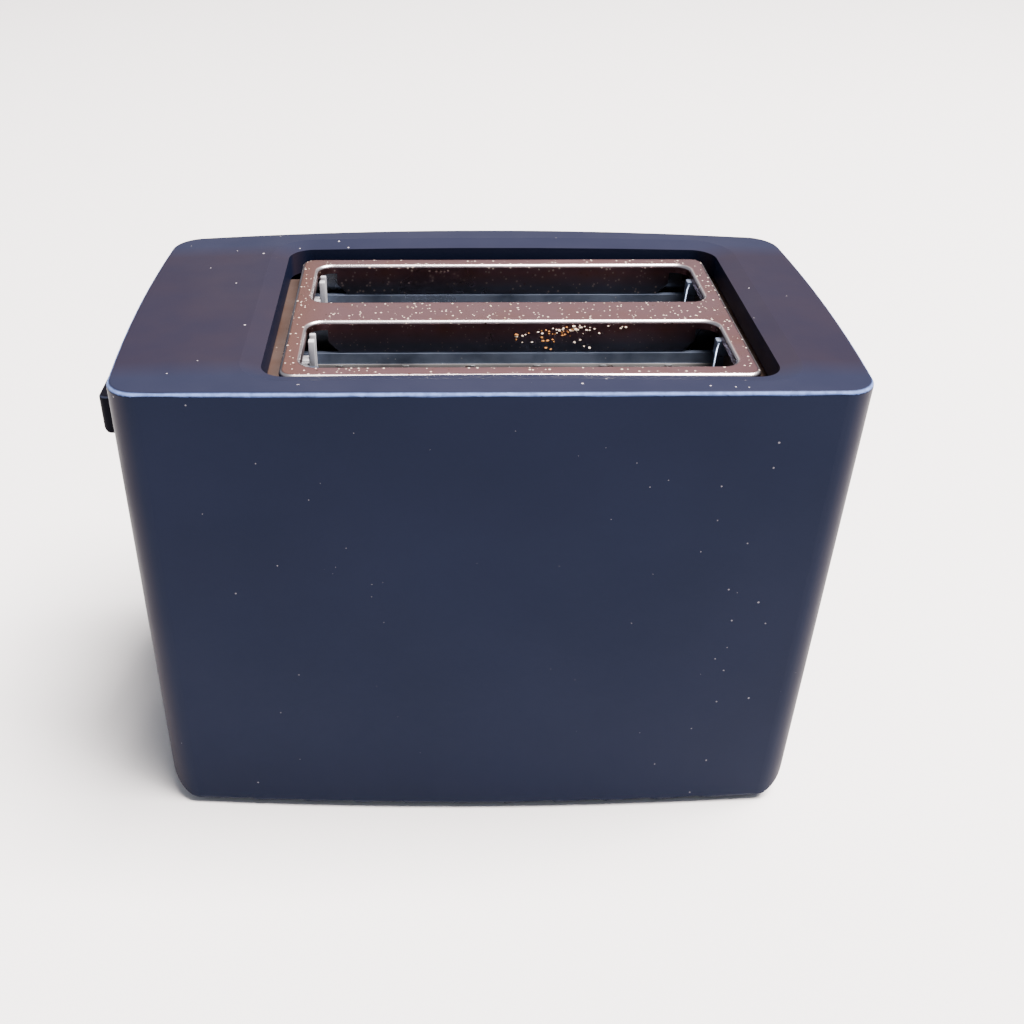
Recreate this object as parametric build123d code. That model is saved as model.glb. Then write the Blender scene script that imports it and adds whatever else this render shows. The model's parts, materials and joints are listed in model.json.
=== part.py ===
"""Two-slot pop-up toaster, built as an assembly of separate pieces. Millimetres, +Z up.

X runs along the toaster with the lever at its -X end, and Y from the front face to the rear face.
Everything is modelled about the housing's own centre and moved by ORIGIN_SHIFT_X when it is written,
which puts the origin at the middle of the whole footprint, on the surface that the toaster stands on.
The pieces are shown with the carriage up, at its top stop.
"""

import os

from build123d import *

# ---- Housing: a one-piece moulded shell, open below ----
BODY_LENGTH = 250.0  # over the bowed ends, without the lever
BODY_HEIGHT = 184.0  # surface to the crown of the top
GROUND_GAP = 2.0  # under the housing's lower edge
WALL = 2.5
END_BOW = 2.8  # how far each end bulges past its corners
SIDE_BOW = 4.6  # how far the front and the rear bulge past their corners
CROWN = 2.2  # rise of the top from its ends to its middle
CORNER_RADIUS = 12.0  # upright corners, seen from above
HEEL_RADIUS = 15.0  # lower corners, seen from the front
HEEL_SWEEP = 14.0  # degrees of bow that a rounded lower corner covers
TOP_EDGE_RADIUS = 1.6
BOTTOM_EDGE_RADIUS = 2.2
BOTTOM_LIP_END = 19.0  # from the end of the housing to the opening below
BOTTOM_LIP_SIDE = 11.0

# ---- Toasting well: two slots, set off centre to leave room for the works at the lever end ----
WELL_CENTRE_X = 10.4
SLOT_LENGTH = 146.2
SLOT_WIDTH = 37.0
SIDE_SPACE = 21.9  # top plate to the middle of the front or the rear wall
DIVIDER = 18.2  # between the slots
RIM_END = 6.6  # top plate beyond each end of the slots
RIM_SIDE = 7.0
SHEET = 0.8  # chassis steel
TOP_SHEET = 1.0  # top plate
PLATE_RECESS = 4.4  # top plate below the crown of the housing
PLATE_FLANGE = 8.0  # turned-down edge of the top plate
PLATE_BEND = 1.5
PLATE_CORNER = 5.0
FLAP_DEPTH = 11.5  # turned-down long edges of each slot
FLAP_END = 7.0  # from the end of the slot to the end of its flap
FLAP_CHAMFER = 4.0
SLOT_COLLAR = 3.4  # turned-down edge all round each slot
SLOT_CORNER = 5.5
OPENING_GAP_END = 5.4  # between the top plate and the housing's opening
OPENING_GAP_SIDE = 5.0
OPENING_CORNER = 9.0
BEVEL_WIDTH = 6.8  # sloping lip around the housing's opening
BEVEL_DEPTH = 1.8
COLLAR_GAP = 1.0  # under the housing's inner collar
FIT_GAP = 0.2  # between sheets that sit side by side
MOVING_GAP = 0.5  # around anything that moves past a fixed piece

# ---- Heights of the works ----
BASE_GAP = 0.4  # between the base and the housing
BASE_THICKNESS = 2.5
TRAY_HEIGHT = 6.5
CHASSIS_Z = 15.2
CHANNEL_HEIGHT = 5.6
TOP_CHANNEL_DROP = 12.3  # top plate to the top of the upper channels
BOTTOM_CHANNEL_Z = 34.0
REFLECTOR_Z = 24.0
GUARD_PIVOT_Z = 44.0
GUARD_TOP_GAP = 10.3  # tops of the bread guards below the upper channels
RACK_DROP = 51.6  # top plate to the bread racks with the carriage up
RACK_DOWN_Z = 48.0  # bread racks with the carriage down

# ---- Lever and carriage ----
LEVER_LENGTH = 30.0  # along the end wall
LEVER_HEIGHT = 15.0
LEVER_REACH = 16.0  # beyond the end of the housing
LEVER_WALL_GAP = 1.4
LEVER_DROP = 34.1  # top plate to the middle of the lever with the carriage up
LEVER_ROUND = 3.0
LEVER_SOCKET = 8.0
ARM_THICKNESS = 2.5
ARM_HEIGHT = 9.0
LEVER_SLOT_WIDTH = 7.0
CARRIAGE_GAP = 9.3  # chassis end to carriage plate
CARRIAGE_PLATE = 1.6
ROD_RADIUS = 2.0
ROD_Y = 16.0
ROD_CLEARANCE = 0.05
SLEEVE_RADIUS = 4.5
SLEEVE_HEIGHT = 28.0
SPRING_RADIUS = 3.7
SPRING_WIRE = 1.0
SPRING_TURNS = 11
BRACKET_THICKNESS = 1.6
LOWER_BRACKET_Z = 28.4
UPPER_BRACKET_DROP = 19.6  # top plate to the underside of the upper bracket
KEEPER_HEIGHT = 2.8
KEEPER_LENGTH = 10.0
MAGNET_GAP = 0.5
CORE_LENGTH = 8.0
CORE_DEPTH = 30.0
CORE_LEG = 5.0

# ---- Racks, heaters and bread guards ----
RACK_SPINE = 1.2
RACK_SPINE_HEIGHT = 8.0
RACK_HALF_WIDTH = 10.0
RACK_WIRE = 1.0
RACK_RUNGS = 9
MICA = 0.8
CARD_END_GAP = 2.0
RIBBON = 0.3
RIBBON_WIDTH = 1.6
RIBBON_TURNS = 13
CARD_OUTSET = 0.6  # heater cards outside the edges of their slot
GUARD_INSET = 3.2  # bread guards inside the edges of their slot
GUARD_RADIUS = 0.9
GUARD_WIRES = 9
PIVOT_CLEARANCE = 0.1

# ---- Controls on the lever end ----
KNOB_RADIUS = 14.0
KNOB_DEPTH = 6.6
KNOB_WALL_GAP = 0.6
KNOB_Z = 34.0
SHAFT_RADIUS = 3.0
SHAFT_CLEARANCE = 0.1
DIAL_BODY_RADIUS = 8.0
DIAL_BODY_DEPTH = 6.5
BUTTON_RADIUS = 5.0
BUTTON_Y = -36.0
BUTTON_PITCH = 14.0
BUTTON_TOP_Z = 50.0
BUTTON_PROUD = 1.8
BUTTON_TRAVEL = 1.0
BUTTON_STEM = 2.0
BUTTON_FLANGE = 1.2
BOARD_SETBACK = 13.0  # end of the housing to the near face of the control board
BOARD_THICKNESS = 1.6
BOARD_TOP_Z = 57.0
BOARD_FRONT_Y = -46.0
BOARD_REAR_Y = 14.0
SWITCH_SIZE = 6.0
SWITCH_HEIGHT = 3.5
FRAME_PLATE = 1.2

# ---- Feet, screws, crumb tray and cord inlet ----
FOOT_RADIUS = 7.0
FOOT_PIN = 2.5
FOOT_INSET_END = 41.0  # foot centres from the ends and from the sides
FOOT_INSET_SIDE = 23.0
SCREW_RADIUS = 1.5
SCREW_HEAD_RADIUS = 3.2
SCREW_HEAD = 1.8
SCREW_LENGTH = 9.0
PILOT_GAP = 0.1
BOSS_INSET_END = 24.5  # housing screws from the ends and from the sides
BOSS_INSET_SIDE = 17.0
HOUSING_BOSS_TOP = 30.0
BOSS_RADIUS = 4.2
CHASSIS_FOOT = 9.0
CHASSIS_EAR = 2.1  # how far the feet of the end plates reach past the chassis
HANDLE_DEPTH = 10.0
HANDLE_OVERLAP = 2.5  # tray handle beyond each side of the tray
HANDLE_TOP_Z = 21.0
GRIP_RADIUS = 4.0
CORD_INSET = 45.0  # cord bush from the lever end
CORD_Z = 20.0
CORD_BORE = 3.6
BUSH_NECK = 5.5
BUSH_FLANGE = 8.0
BUSH_FLANGE_THICKNESS = 1.2

# ---- Worked out from the values above ----
PLATE_Z = BODY_HEIGHT - PLATE_RECESS
PLATE_LENGTH = SLOT_LENGTH + 2 * RIM_END
PLATE_DEPTH = 2 * SLOT_WIDTH + DIVIDER + 2 * RIM_SIDE
BODY_DEPTH = PLATE_DEPTH + 2 * SIDE_SPACE  # over the bowed front and rear
SLOT_Y = (SLOT_WIDTH + DIVIDER) / 2
OPENING_LENGTH = PLATE_LENGTH + 2 * OPENING_GAP_END
OPENING_DEPTH = PLATE_DEPTH + 2 * OPENING_GAP_SIDE
FLANGE_Z = PLATE_Z - PLATE_FLANGE  # lower edge of the top plate, where it sits on the chassis
CHASSIS_HALF_X = PLATE_LENGTH / 2 - TOP_SHEET - FIT_GAP
CHASSIS_HALF_Y = PLATE_DEPTH / 2 - TOP_SHEET - FIT_GAP
END_LEFT = WELL_CENTRE_X - CHASSIS_HALF_X  # outer face of the left end plate
END_RIGHT = WELL_CENTRE_X + CHASSIS_HALF_X
INSIDE_LEFT = END_LEFT + SHEET
INSIDE_RIGHT = END_RIGHT - SHEET
CHANNEL_TOP = PLATE_Z - TOP_CHANNEL_DROP
GUARD_HEIGHT = CHANNEL_TOP - GUARD_PIVOT_Z - GUARD_TOP_GAP
RACK_Z = PLATE_Z - RACK_DROP
TRAVEL = RACK_Z - RACK_DOWN_Z  # carriage, up to down
LEVER_Z = PLATE_Z - LEVER_DROP
UPPER_BRACKET_Z = PLATE_Z - UPPER_BRACKET_DROP
CARD_BOTTOM = BOTTOM_CHANNEL_Z + SHEET
CARD_TOP = CHANNEL_TOP - SHEET
CARD_HALF_X = (INSIDE_RIGHT - INSIDE_LEFT) / 2 - CARD_END_GAP
CARRIAGE_X = END_LEFT - CARRIAGE_GAP  # inner face of the carriage plate
ROD_X = CARRIAGE_X - CARRIAGE_PLATE - SLEEVE_RADIUS - 1.0
SLEEVE_BOTTOM = LEVER_Z + ARM_HEIGHT / 2 - SLEEVE_HEIGHT
KEEPER_Z = LEVER_Z - ARM_HEIGHT / 2 - KEEPER_HEIGHT
MAGNET_TOP = KEEPER_Z - TRAVEL - MAGNET_GAP
MAGNET_X = ROD_X - 14.5
SHELF_Z = LOWER_BRACKET_Z + BRACKET_THICKNESS
SHELF_END_X = MAGNET_X - 10.0
LEVER_OUTER_X = -BODY_LENGTH / 2 - LEVER_REACH
LEVER_INNER_X = -BODY_LENGTH / 2 - LEVER_WALL_GAP
ORIGIN_SHIFT_X = LEVER_REACH / 2
BASE_Z = GROUND_GAP + WALL + BASE_GAP
BASE_TOP = BASE_Z + BASE_THICKNESS
TRAY_Z = BASE_TOP + MOVING_GAP
CHASSIS_SCREW_X = CHASSIS_FOOT / 2
CHASSIS_SCREW_Y = CHASSIS_HALF_Y - 1.0
TRAY_HALF_Y = CHASSIS_SCREW_Y - BOSS_RADIUS - 1.2
HANDLE_INNER_X = BODY_LENGTH / 2 - HANDLE_DEPTH
HANDLE_SIDE = TRAY_HALF_Y + HANDLE_OVERLAP
CHASSIS_EAR_Y = CHASSIS_HALF_Y + CHASSIS_EAR
HOUSING_BOSS_X = BODY_LENGTH / 2 - BOSS_INSET_END
HOUSING_BOSS_Y = BODY_DEPTH / 2 - BOSS_INSET_SIDE
FOOT_X = BODY_LENGTH / 2 - FOOT_INSET_END
FOOT_Y = BODY_DEPTH / 2 - FOOT_INSET_SIDE
BOARD_X = BOARD_SETBACK - BODY_LENGTH / 2  # face of the control board that looks at the end wall
CORD_X = CORD_INSET - BODY_LENGTH / 2
BASE_INSET = WALL + BASE_GAP
SIDES = (("front", -1), ("rear", 1))
ENDS = (("left", -1), ("right", 1))


def block(x0, x1, y0, y1, z0, z1):
    """A box given by its faces."""
    return Pos((x0 + x1) / 2, (y0 + y1) / 2, (z0 + z1) / 2) * Box(abs(x1 - x0), abs(y1 - y0), abs(z1 - z0))


def upright(radius, x, y, z0, z1):
    """A vertical cylinder."""
    return Pos(x, y, (z0 + z1) / 2) * Cylinder(radius, z1 - z0)


def along_x(radius, x0, x1, y, z):
    """A cylinder lying along X."""
    return Pos((x0 + x1) / 2, y, z) * Rot(0, 90, 0) * Cylinder(radius, x1 - x0)


def along_y(radius, x, y0, y1, z):
    """A cylinder lying along Y."""
    return Pos(x, (y0 + y1) / 2, z) * Rot(90, 0, 0) * Cylinder(radius, y1 - y0)


def rounded_block(cx, cy, length, depth, radius, z0, z1):
    """An upright prism with a rounded rectangle for its plan."""
    return extrude(Pos(cx, cy, z0) * RectangleRounded(length, depth, radius), z1 - z0)


def fuse(pieces):
    """Several solids joined into one."""
    return pieces[0].fuse(*pieces[1:])


def cut(solid, tools):
    """A solid with several others taken out of it."""
    return solid.cut(*tools)


def group(pieces):
    """Several separate solids kept together as one piece."""
    return Compound([piece.solid() for piece in pieces])


def edges_between(part, low, high):
    """Edges whose whole run lies between two heights."""
    boxes = [(e, e.bounding_box()) for e in part.edges()]
    return [e for e, box in boxes if low <= box.min.Z and box.max.Z <= high]


# ---- Housing ----


def bowed_plan(length, depth, radius):
    """The plan outline: a rectangle whose four sides bulge, with rounded corners."""
    x, y = length / 2, depth / 2
    cx, cy = x - END_BOW, y - SIDE_BOW
    corners = [(-cx, -cy), (cx, -cy), (cx, cy), (-cx, cy)]
    middles = [(0, -y), (x, 0), (0, y), (-x, 0)]
    sides = [ThreePointArc(corners[i], middles[i], corners[(i + 1) % 4]) for i in range(4)]
    plan = make_face(sides)
    return fillet(plan.vertices(), radius)


def bow_drop(offset, half_chord, bow):
    """How far a bulging side has fallen away at a distance from its middle."""
    radius = (half_chord**2 + bow**2) / (2 * bow)
    return radius - (radius**2 - offset**2) ** 0.5


def long_wall_y(x):
    """Outer face of the rear wall at a given X."""
    return BODY_DEPTH / 2 - bow_drop(x, BODY_LENGTH / 2 - END_BOW, SIDE_BOW)


def button_wall_x():
    """Outer face of the lever end's wall where the buttons are."""
    return -BODY_LENGTH / 2 + bow_drop(BUTTON_Y, BODY_DEPTH / 2 - SIDE_BOW, END_BOW)


def heel_waste(half, bottom, heel, bow_radius):
    """What is taken off below the right end, so that its lower corner is round and follows the bow."""
    bend = heel * (1 - 0.5**0.5)
    start, end = (half - heel, bottom), (half, bottom + heel)
    beyond = [(half + 2, bottom + heel), (half + 2, bottom - 1), (half - heel, bottom - 1)]
    round_corner = ThreePointArc(start, (half - bend, bottom + bend), end)
    profile = make_face([round_corner, Polyline(end, *beyond, start)])
    axis = Axis((half - bow_radius, 0, 0), (0, 0, 1))
    arc = revolve(Plane.XZ * profile, axis=axis, revolution_arc=HEEL_SWEEP)
    return arc.rotate(axis, -HEEL_SWEEP / 2)


def body_form(inset, hem=0.0):
    """The outside of the housing or, with an inset, a space within it that keeps the same curves.

    A hem rounds the lower edge all the way round, before the ends are rounded more.
    """
    length, depth = BODY_LENGTH - 2 * inset, BODY_DEPTH - 2 * inset
    top, bottom = BODY_HEIGHT - inset, GROUND_GAP + inset
    upward = extrude(Pos(0, 0, bottom) * bowed_plan(length, depth, CORNER_RADIUS - inset), top - bottom + 1)
    if hem:
        upward = fillet(edges_between(upward, bottom - 0.1, bottom + 0.1), hem)
    half, margin = length / 2, 1.0
    shoulder = top - CROWN * ((half + margin) / half) ** 2
    below = bottom - margin
    left, right = (-half - margin, shoulder), (half + margin, shoulder)
    outline = make_face(
        [
            ThreePointArc(left, (0, top), right),
            Polyline(right, (half + margin, below), (-half - margin, below), left),
        ]
    )
    form = upward & extrude(Plane.XZ * outline, depth, both=True)
    half_chord = depth / 2 - SIDE_BOW
    bow_radius = (half_chord**2 + END_BOW**2) / (2 * END_BOW)
    waste = heel_waste(half, bottom, HEEL_RADIUS - inset, bow_radius)
    return cut(form, [waste, mirror(waste, Plane.YZ)])


def outer_form():
    """The housing's outside with its top and bottom edges rounded."""
    form = body_form(0, BOTTOM_EDGE_RADIUS)
    return fillet(edges_between(form, BODY_HEIGHT - CROWN - 1, BODY_HEIGHT + 1), TOP_EDGE_RADIUS)


def opening_prism(margin, z0, z1):
    """The opening over the toasting well, or a bigger prism around it."""
    length, depth = OPENING_LENGTH + 2 * margin, OPENING_DEPTH + 2 * margin
    return rounded_block(WELL_CENTRE_X, 0, length, depth, OPENING_CORNER + margin, z0, z1)


def bevel_opening(shell):
    """Slope the top of the housing down into its opening."""
    reach_x = OPENING_LENGTH / 2 + 0.1
    reach_y = OPENING_DEPTH / 2 + 0.1
    top = edges_between(shell, BODY_HEIGHT - CROWN - 0.5, BODY_HEIGHT + 0.1)
    rim = [e for e in top if abs(e.center().X - WELL_CENTRE_X) < reach_x and abs(e.center().Y) < reach_y]
    crown = [f for f in shell.faces() if f.center().Z > BODY_HEIGHT - 2 and f.normal_at().Z > 0.9]
    crown_face = max(crown, key=lambda f: f.area)
    return chamfer(rim, BEVEL_WIDTH, BEVEL_DEPTH, reference=crown_face)


def housing_bosses():
    """Posts that the base is screwed to, each with a web to the nearest long wall."""
    posts = []
    for _, end in ENDS:
        for _, side in SIDES:
            x, y = end * HOUSING_BOSS_X, side * HOUSING_BOSS_Y
            wall_y = side * (BODY_DEPTH / 2 - SIDE_BOW + 1.0)
            posts.append(upright(BOSS_RADIUS, x, y, BASE_TOP, HOUSING_BOSS_TOP))
            posts.append(block(x - 1.5, x + 1.5, y, wall_y, BASE_TOP, HOUSING_BOSS_TOP))
    return posts


def housing_holes():
    """Everything that is cut through the housing's walls."""
    wall_x = -BODY_LENGTH / 2
    slot_top = LEVER_Z + ARM_HEIGHT / 2 + 1.5
    slot_bottom = LEVER_Z - TRAVEL - ARM_HEIGHT / 2 - 1.5
    half = LEVER_SLOT_WIDTH / 2
    holes = [
        opening_prism(0, FLANGE_Z - 5, BODY_HEIGHT + 1),
        rounded_block(
            0, 0, BODY_LENGTH - 2 * BOTTOM_LIP_END, BODY_DEPTH - 2 * BOTTOM_LIP_SIDE, 10, -1, BASE_Z
        ),
        block(wall_x - 1, wall_x + 6, -half, half, slot_bottom + half, slot_top - half),
        along_x(half, wall_x - 1, wall_x + 6, 0, slot_bottom + half),
        along_x(half, wall_x - 1, wall_x + 6, 0, slot_top - half),
        along_x(SHAFT_RADIUS + MOVING_GAP, wall_x - 1, wall_x + 6, 0, KNOB_Z),
        block(
            BODY_LENGTH / 2 - 13,
            BODY_LENGTH / 2 + 1,
            -HANDLE_SIDE - MOVING_GAP,
            HANDLE_SIDE + MOVING_GAP,
            TRAY_Z - 0.2,
            HANDLE_TOP_Z + MOVING_GAP,
        ),
        along_y(BUSH_NECK, CORD_X, BODY_DEPTH / 2 - 12, BODY_DEPTH / 2 + 1, CORD_Z),
    ]
    for index in range(len(BUTTON_NAMES)):
        z = BUTTON_TOP_Z - index * BUTTON_PITCH
        holes.append(along_x(BUTTON_RADIUS + 0.4, wall_x - 1, wall_x + 6, BUTTON_Y, z))
    for _, end in ENDS:
        for _, side in SIDES:
            x, y = end * HOUSING_BOSS_X, side * HOUSING_BOSS_Y
            holes.append(upright(SCREW_RADIUS + PILOT_GAP, x, y, BASE_TOP - 1, BASE_TOP + SCREW_LENGTH + 2))
    return holes


def make_housing(outside):
    """Moulded shell: bowed walls, crowned top with a bevelled opening, bosses and holes."""
    shell = outside - body_form(WALL)
    collar_top = BODY_HEIGHT - CROWN + 0.4
    collar = opening_prism(WALL, FLANGE_Z + COLLAR_GAP, collar_top)
    shell = fuse([shell, collar, *housing_bosses()])
    return bevel_opening(cut(shell, housing_holes()))


# ---- Top plate and chassis ----


def flap(y0, y1):
    """A turned-down tongue along a slot, with its lower corners cut off."""
    half = SLOT_LENGTH / 2 - FLAP_END
    low = -FLAP_DEPTH
    tongue = Polygon(
        (-half, 0),
        (-half, low + FLAP_CHAMFER),
        (-half + FLAP_CHAMFER, low),
        (half - FLAP_CHAMFER, low),
        (half, low + FLAP_CHAMFER),
        (half, 0),
        align=None,
    )
    sheet = extrude(Plane.XZ * tongue, (y1 - y0) / 2, both=True)
    return Pos(WELL_CENTRE_X, (y0 + y1) / 2, PLATE_Z - TOP_SHEET / 2) * sheet


def make_top_plate():
    """Pressed cap over the well: two slots with turned-down edges inside a turned-down rim."""
    plate = rounded_block(WELL_CENTRE_X, 0, PLATE_LENGTH, PLATE_DEPTH, PLATE_CORNER, FLANGE_Z, PLATE_Z)
    plate = fillet(edges_between(plate, PLATE_Z - 0.1, PLATE_Z + 0.1), PLATE_BEND)
    length, depth = PLATE_LENGTH - 2 * TOP_SHEET, PLATE_DEPTH - 2 * TOP_SHEET
    corner, under = PLATE_CORNER - TOP_SHEET, PLATE_Z - TOP_SHEET
    inside = rounded_block(WELL_CENTRE_X, 0, length, depth, corner, FLANGE_Z - 1, under)
    plate -= fillet(edges_between(inside, under - 0.1, PLATE_Z), PLATE_BEND - TOP_SHEET)
    slots = []
    edges = []
    for _, side in SIDES:
        y = side * SLOT_Y
        wide, deep = SLOT_LENGTH + 2 * TOP_SHEET, SLOT_WIDTH + 2 * TOP_SHEET
        corner, low = SLOT_CORNER + TOP_SHEET, PLATE_Z - SLOT_COLLAR
        edges.append(rounded_block(WELL_CENTRE_X, y, wide, deep, corner, low, PLATE_Z - 0.5))
        for edge in (-1, 1):
            face = y + edge * SLOT_WIDTH / 2
            edges.append(flap(min(face, face + edge * TOP_SHEET), max(face, face + edge * TOP_SHEET)))
        low, high = CHANNEL_TOP - 5, PLATE_Z + 1
        slots.append(rounded_block(WELL_CENTRE_X, y, SLOT_LENGTH, SLOT_WIDTH, SLOT_CORNER, low, high))
    plate = cut(fuse([plate, *edges]), slots)
    half_x, half_y = SLOT_LENGTH / 2 + 0.1, PLATE_DEPTH / 2 - RIM_SIDE + 0.1
    lips = edges_between(plate, PLATE_Z - 0.01, PLATE_Z + 0.01)
    lips = [e for e in lips if abs(e.center().X - WELL_CENTRE_X) < half_x and abs(e.center().Y) < half_y]
    return fillet(lips, PLATE_BEND - 0.1)


def make_end_plate(side):
    """End of the well: an upright sheet with a shelf above, feet, rack slots and pivot holes."""
    outer = END_RIGHT if side > 0 else END_LEFT
    inner = outer - side * SHEET
    reach = side * (OPENING_GAP_END + 2.5 + FIT_GAP + TOP_SHEET)
    plate = [
        block(outer, inner, -CHASSIS_HALF_Y, CHASSIS_HALF_Y, CHASSIS_Z, FLANGE_Z),
        block(outer, inner, -CHASSIS_EAR_Y, CHASSIS_EAR_Y, CHASSIS_Z, REFLECTOR_Z - 1),
        block(inner, outer + reach, -CHASSIS_HALF_Y, CHASSIS_HALF_Y, FLANGE_Z - SHEET, FLANGE_Z),
    ]
    holes = []
    for _, turn in SIDES:
        toe = outer + side * CHASSIS_FOOT
        inner_y, outer_y = turn * (CHASSIS_SCREW_Y - 6), turn * CHASSIS_EAR_Y
        plate.append(block(inner, toe, inner_y, outer_y, CHASSIS_Z, CHASSIS_Z + SHEET))
        screw_x, screw_y = outer + side * CHASSIS_SCREW_X, turn * CHASSIS_SCREW_Y
        holes.append(upright(SCREW_RADIUS + PILOT_GAP, screw_x, screw_y, CHASSIS_Z - 1, CHASSIS_Z + 2))
        low, high = RACK_Z - TRAVEL - RACK_SPINE_HEIGHT - 1, RACK_Z + 1
        half = RACK_SPINE / 2 + MOVING_GAP
        holes.append(block(outer + 1, outer - 1, turn * SLOT_Y - half, turn * SLOT_Y + half, low, high))
        for y in guard_rows(turn):
            holes.append(along_x(GUARD_RADIUS + PIVOT_CLEARANCE, outer - 2, outer + 2, y, GUARD_PIVOT_Z))
    return cut(fuse(plate), holes)


def make_reflector(side):
    """Bright sheet behind an outer heater, its lower edge turned in towards the crumb tray."""
    outer = side * CHASSIS_HALF_Y
    inner = outer - side * SHEET
    top = PLATE_Z - TOP_SHEET - FIT_GAP
    wall = block(INSIDE_LEFT, INSIDE_RIGHT, outer, inner, REFLECTOR_Z, FLANGE_Z - 1)
    tongue = block(INSIDE_LEFT + PLATE_CORNER, INSIDE_RIGHT - PLATE_CORNER, outer, inner, REFLECTOR_Z, top)
    lip = block(INSIDE_LEFT, INSIDE_RIGHT, outer, outer - side * 5, REFLECTOR_Z, REFLECTOR_Z + SHEET)
    return fuse([wall, tongue, lip])


def make_centre_reflector():
    """Sheet between the two slots."""
    top = PLATE_Z - TOP_SHEET - FIT_GAP
    return block(INSIDE_LEFT, INSIDE_RIGHT, -SHEET / 2, SHEET / 2, REFLECTOR_Z, top)


def card_rows(side):
    """Y of the two heater cards of one slot, inner first."""
    half = SLOT_WIDTH / 2 + CARD_OUTSET
    return side * (SLOT_Y - half), side * (SLOT_Y + half)


def guard_rows(side):
    """Y of the two bread guards of one slot, inner first."""
    half = SLOT_WIDTH / 2 - GUARD_INSET
    return side * (SLOT_Y - half), side * (SLOT_Y + half)


def make_channels(upper):
    """The four folded channels that hold the heater cards at one edge, end plate to end plate."""
    channels = []
    half = MICA / 2 + SHEET
    low = CHANNEL_TOP - CHANNEL_HEIGHT if upper else BOTTOM_CHANNEL_Z
    groove_low = low - 1 if upper else low + SHEET
    for _, side in SIDES:
        for y in card_rows(side):
            bar = block(INSIDE_LEFT, INSIDE_RIGHT, y - half, y + half, low, low + CHANNEL_HEIGHT)
            groove_high = groove_low + CHANNEL_HEIGHT + (1 - SHEET if upper else 1)
            bar -= block(
                INSIDE_LEFT - 1, INSIDE_RIGHT + 1, y - MICA / 2, y + MICA / 2, groove_low, groove_high
            )
            channels.append(bar)
    return group(channels)


# ---- Heaters, guards and racks ----


def make_card(y):
    """Mica sheet that a heating ribbon is wound on."""
    x0, x1 = WELL_CENTRE_X - CARD_HALF_X, WELL_CENTRE_X + CARD_HALF_X
    return block(x0, x1, y - MICA / 2, y + MICA / 2, CARD_BOTTOM, CARD_TOP)


def make_ribbon(y):
    """Flat heating ribbon wound round a card, stepping up at alternate ends."""
    low, high = CARD_BOTTOM + CHANNEL_HEIGHT + 3, CARD_TOP - CHANNEL_HEIGHT - 3
    x0, x1 = WELL_CENTRE_X - CARD_HALF_X, WELL_CENTRE_X + CARD_HALF_X
    y0, y1 = y - MICA / 2, y + MICA / 2
    sleeve = block(x0 - RIBBON, x1 + RIBBON, y0 - RIBBON, y1 + RIBBON, low, high)
    gaps = [block(x0, x1, y0, y1, low - 1, high + 1)]
    pitch = (high - low - RIBBON_WIDTH) / (RIBBON_TURNS - 1)
    for turn in range(RIBBON_TURNS - 1):
        z0 = low + turn * pitch + RIBBON_WIDTH
        z1 = low + (turn + 1) * pitch
        ends = (x0 - 1, x1) if turn % 2 else (x0, x1 + 1)
        gaps.append(block(*ends, y0 - 1, y1 + 1, z0, z1))
    return cut(sleeve, gaps)


def make_guard(y):
    """Wire grille beside the bread: it hangs on a lower rail that turns in the end plates."""
    wires = [along_x(GUARD_RADIUS, END_LEFT - 1.5, END_RIGHT + 1.5, y, GUARD_PIVOT_Z)]
    half = CARD_HALF_X - 4
    x0, x1 = WELL_CENTRE_X - half, WELL_CENTRE_X + half
    top = GUARD_PIVOT_Z + GUARD_HEIGHT
    wires.append(along_x(GUARD_RADIUS, x0 - GUARD_RADIUS, x1 + GUARD_RADIUS, y, top - GUARD_RADIUS))
    for index in range(GUARD_WIRES):
        x = x0 + (x1 - x0) * index / (GUARD_WIRES - 1)
        wires.append(upright(GUARD_RADIUS, x, y, GUARD_PIVOT_Z, top - GUARD_RADIUS))
    return fuse(wires)


def make_rack(side):
    """Ladder that the bread stands on, carried by a spine that passes through both end plates."""
    y = side * SLOT_Y
    half = RACK_SPINE / 2
    pieces = [block(CARRIAGE_X, END_RIGHT + 3, y - half, y + half, RACK_Z - RACK_SPINE_HEIGHT, RACK_Z)]
    x0, x1 = INSIDE_LEFT + 8, INSIDE_RIGHT - 8
    z = RACK_Z - RACK_WIRE
    for index in range(RACK_RUNGS):
        x = x0 + (x1 - x0) * index / (RACK_RUNGS - 1)
        pieces.append(along_y(RACK_WIRE, x, y - RACK_HALF_WIDTH, y + RACK_HALF_WIDTH, z))
    for edge in (-1, 1):
        pieces.append(along_x(RACK_WIRE, x0 - 3, x1 + 3, y + edge * (RACK_HALF_WIDTH - RACK_WIRE), z))
    return fuse(pieces)


# ---- Carriage, lever and latch ----


def make_carriage_plate():
    """Sheet that joins both racks to the slide."""
    return block(
        CARRIAGE_X - CARRIAGE_PLATE,
        CARRIAGE_X,
        -SLOT_Y - 4,
        SLOT_Y + 4,
        RACK_Z - RACK_SPINE_HEIGHT - 4,
        LEVER_Z + ARM_HEIGHT / 2,
    )


def make_slide():
    """Moulded slide: two sleeves on the guide rods, joined by a web."""
    top = LEVER_Z + ARM_HEIGHT / 2
    plate_x = CARRIAGE_X - CARRIAGE_PLATE
    pieces = [block(ROD_X - 3, plate_x, -ROD_Y, ROD_Y, SLEEVE_BOTTOM + 4, top)]
    bores = []
    for _, side in SIDES:
        pieces.append(upright(SLEEVE_RADIUS, ROD_X, side * ROD_Y, SLEEVE_BOTTOM, top))
        bores.append(upright(ROD_RADIUS + ROD_CLEARANCE, ROD_X, side * ROD_Y, SLEEVE_BOTTOM - 1, top + 1))
    return cut(fuse(pieces), bores)


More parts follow.
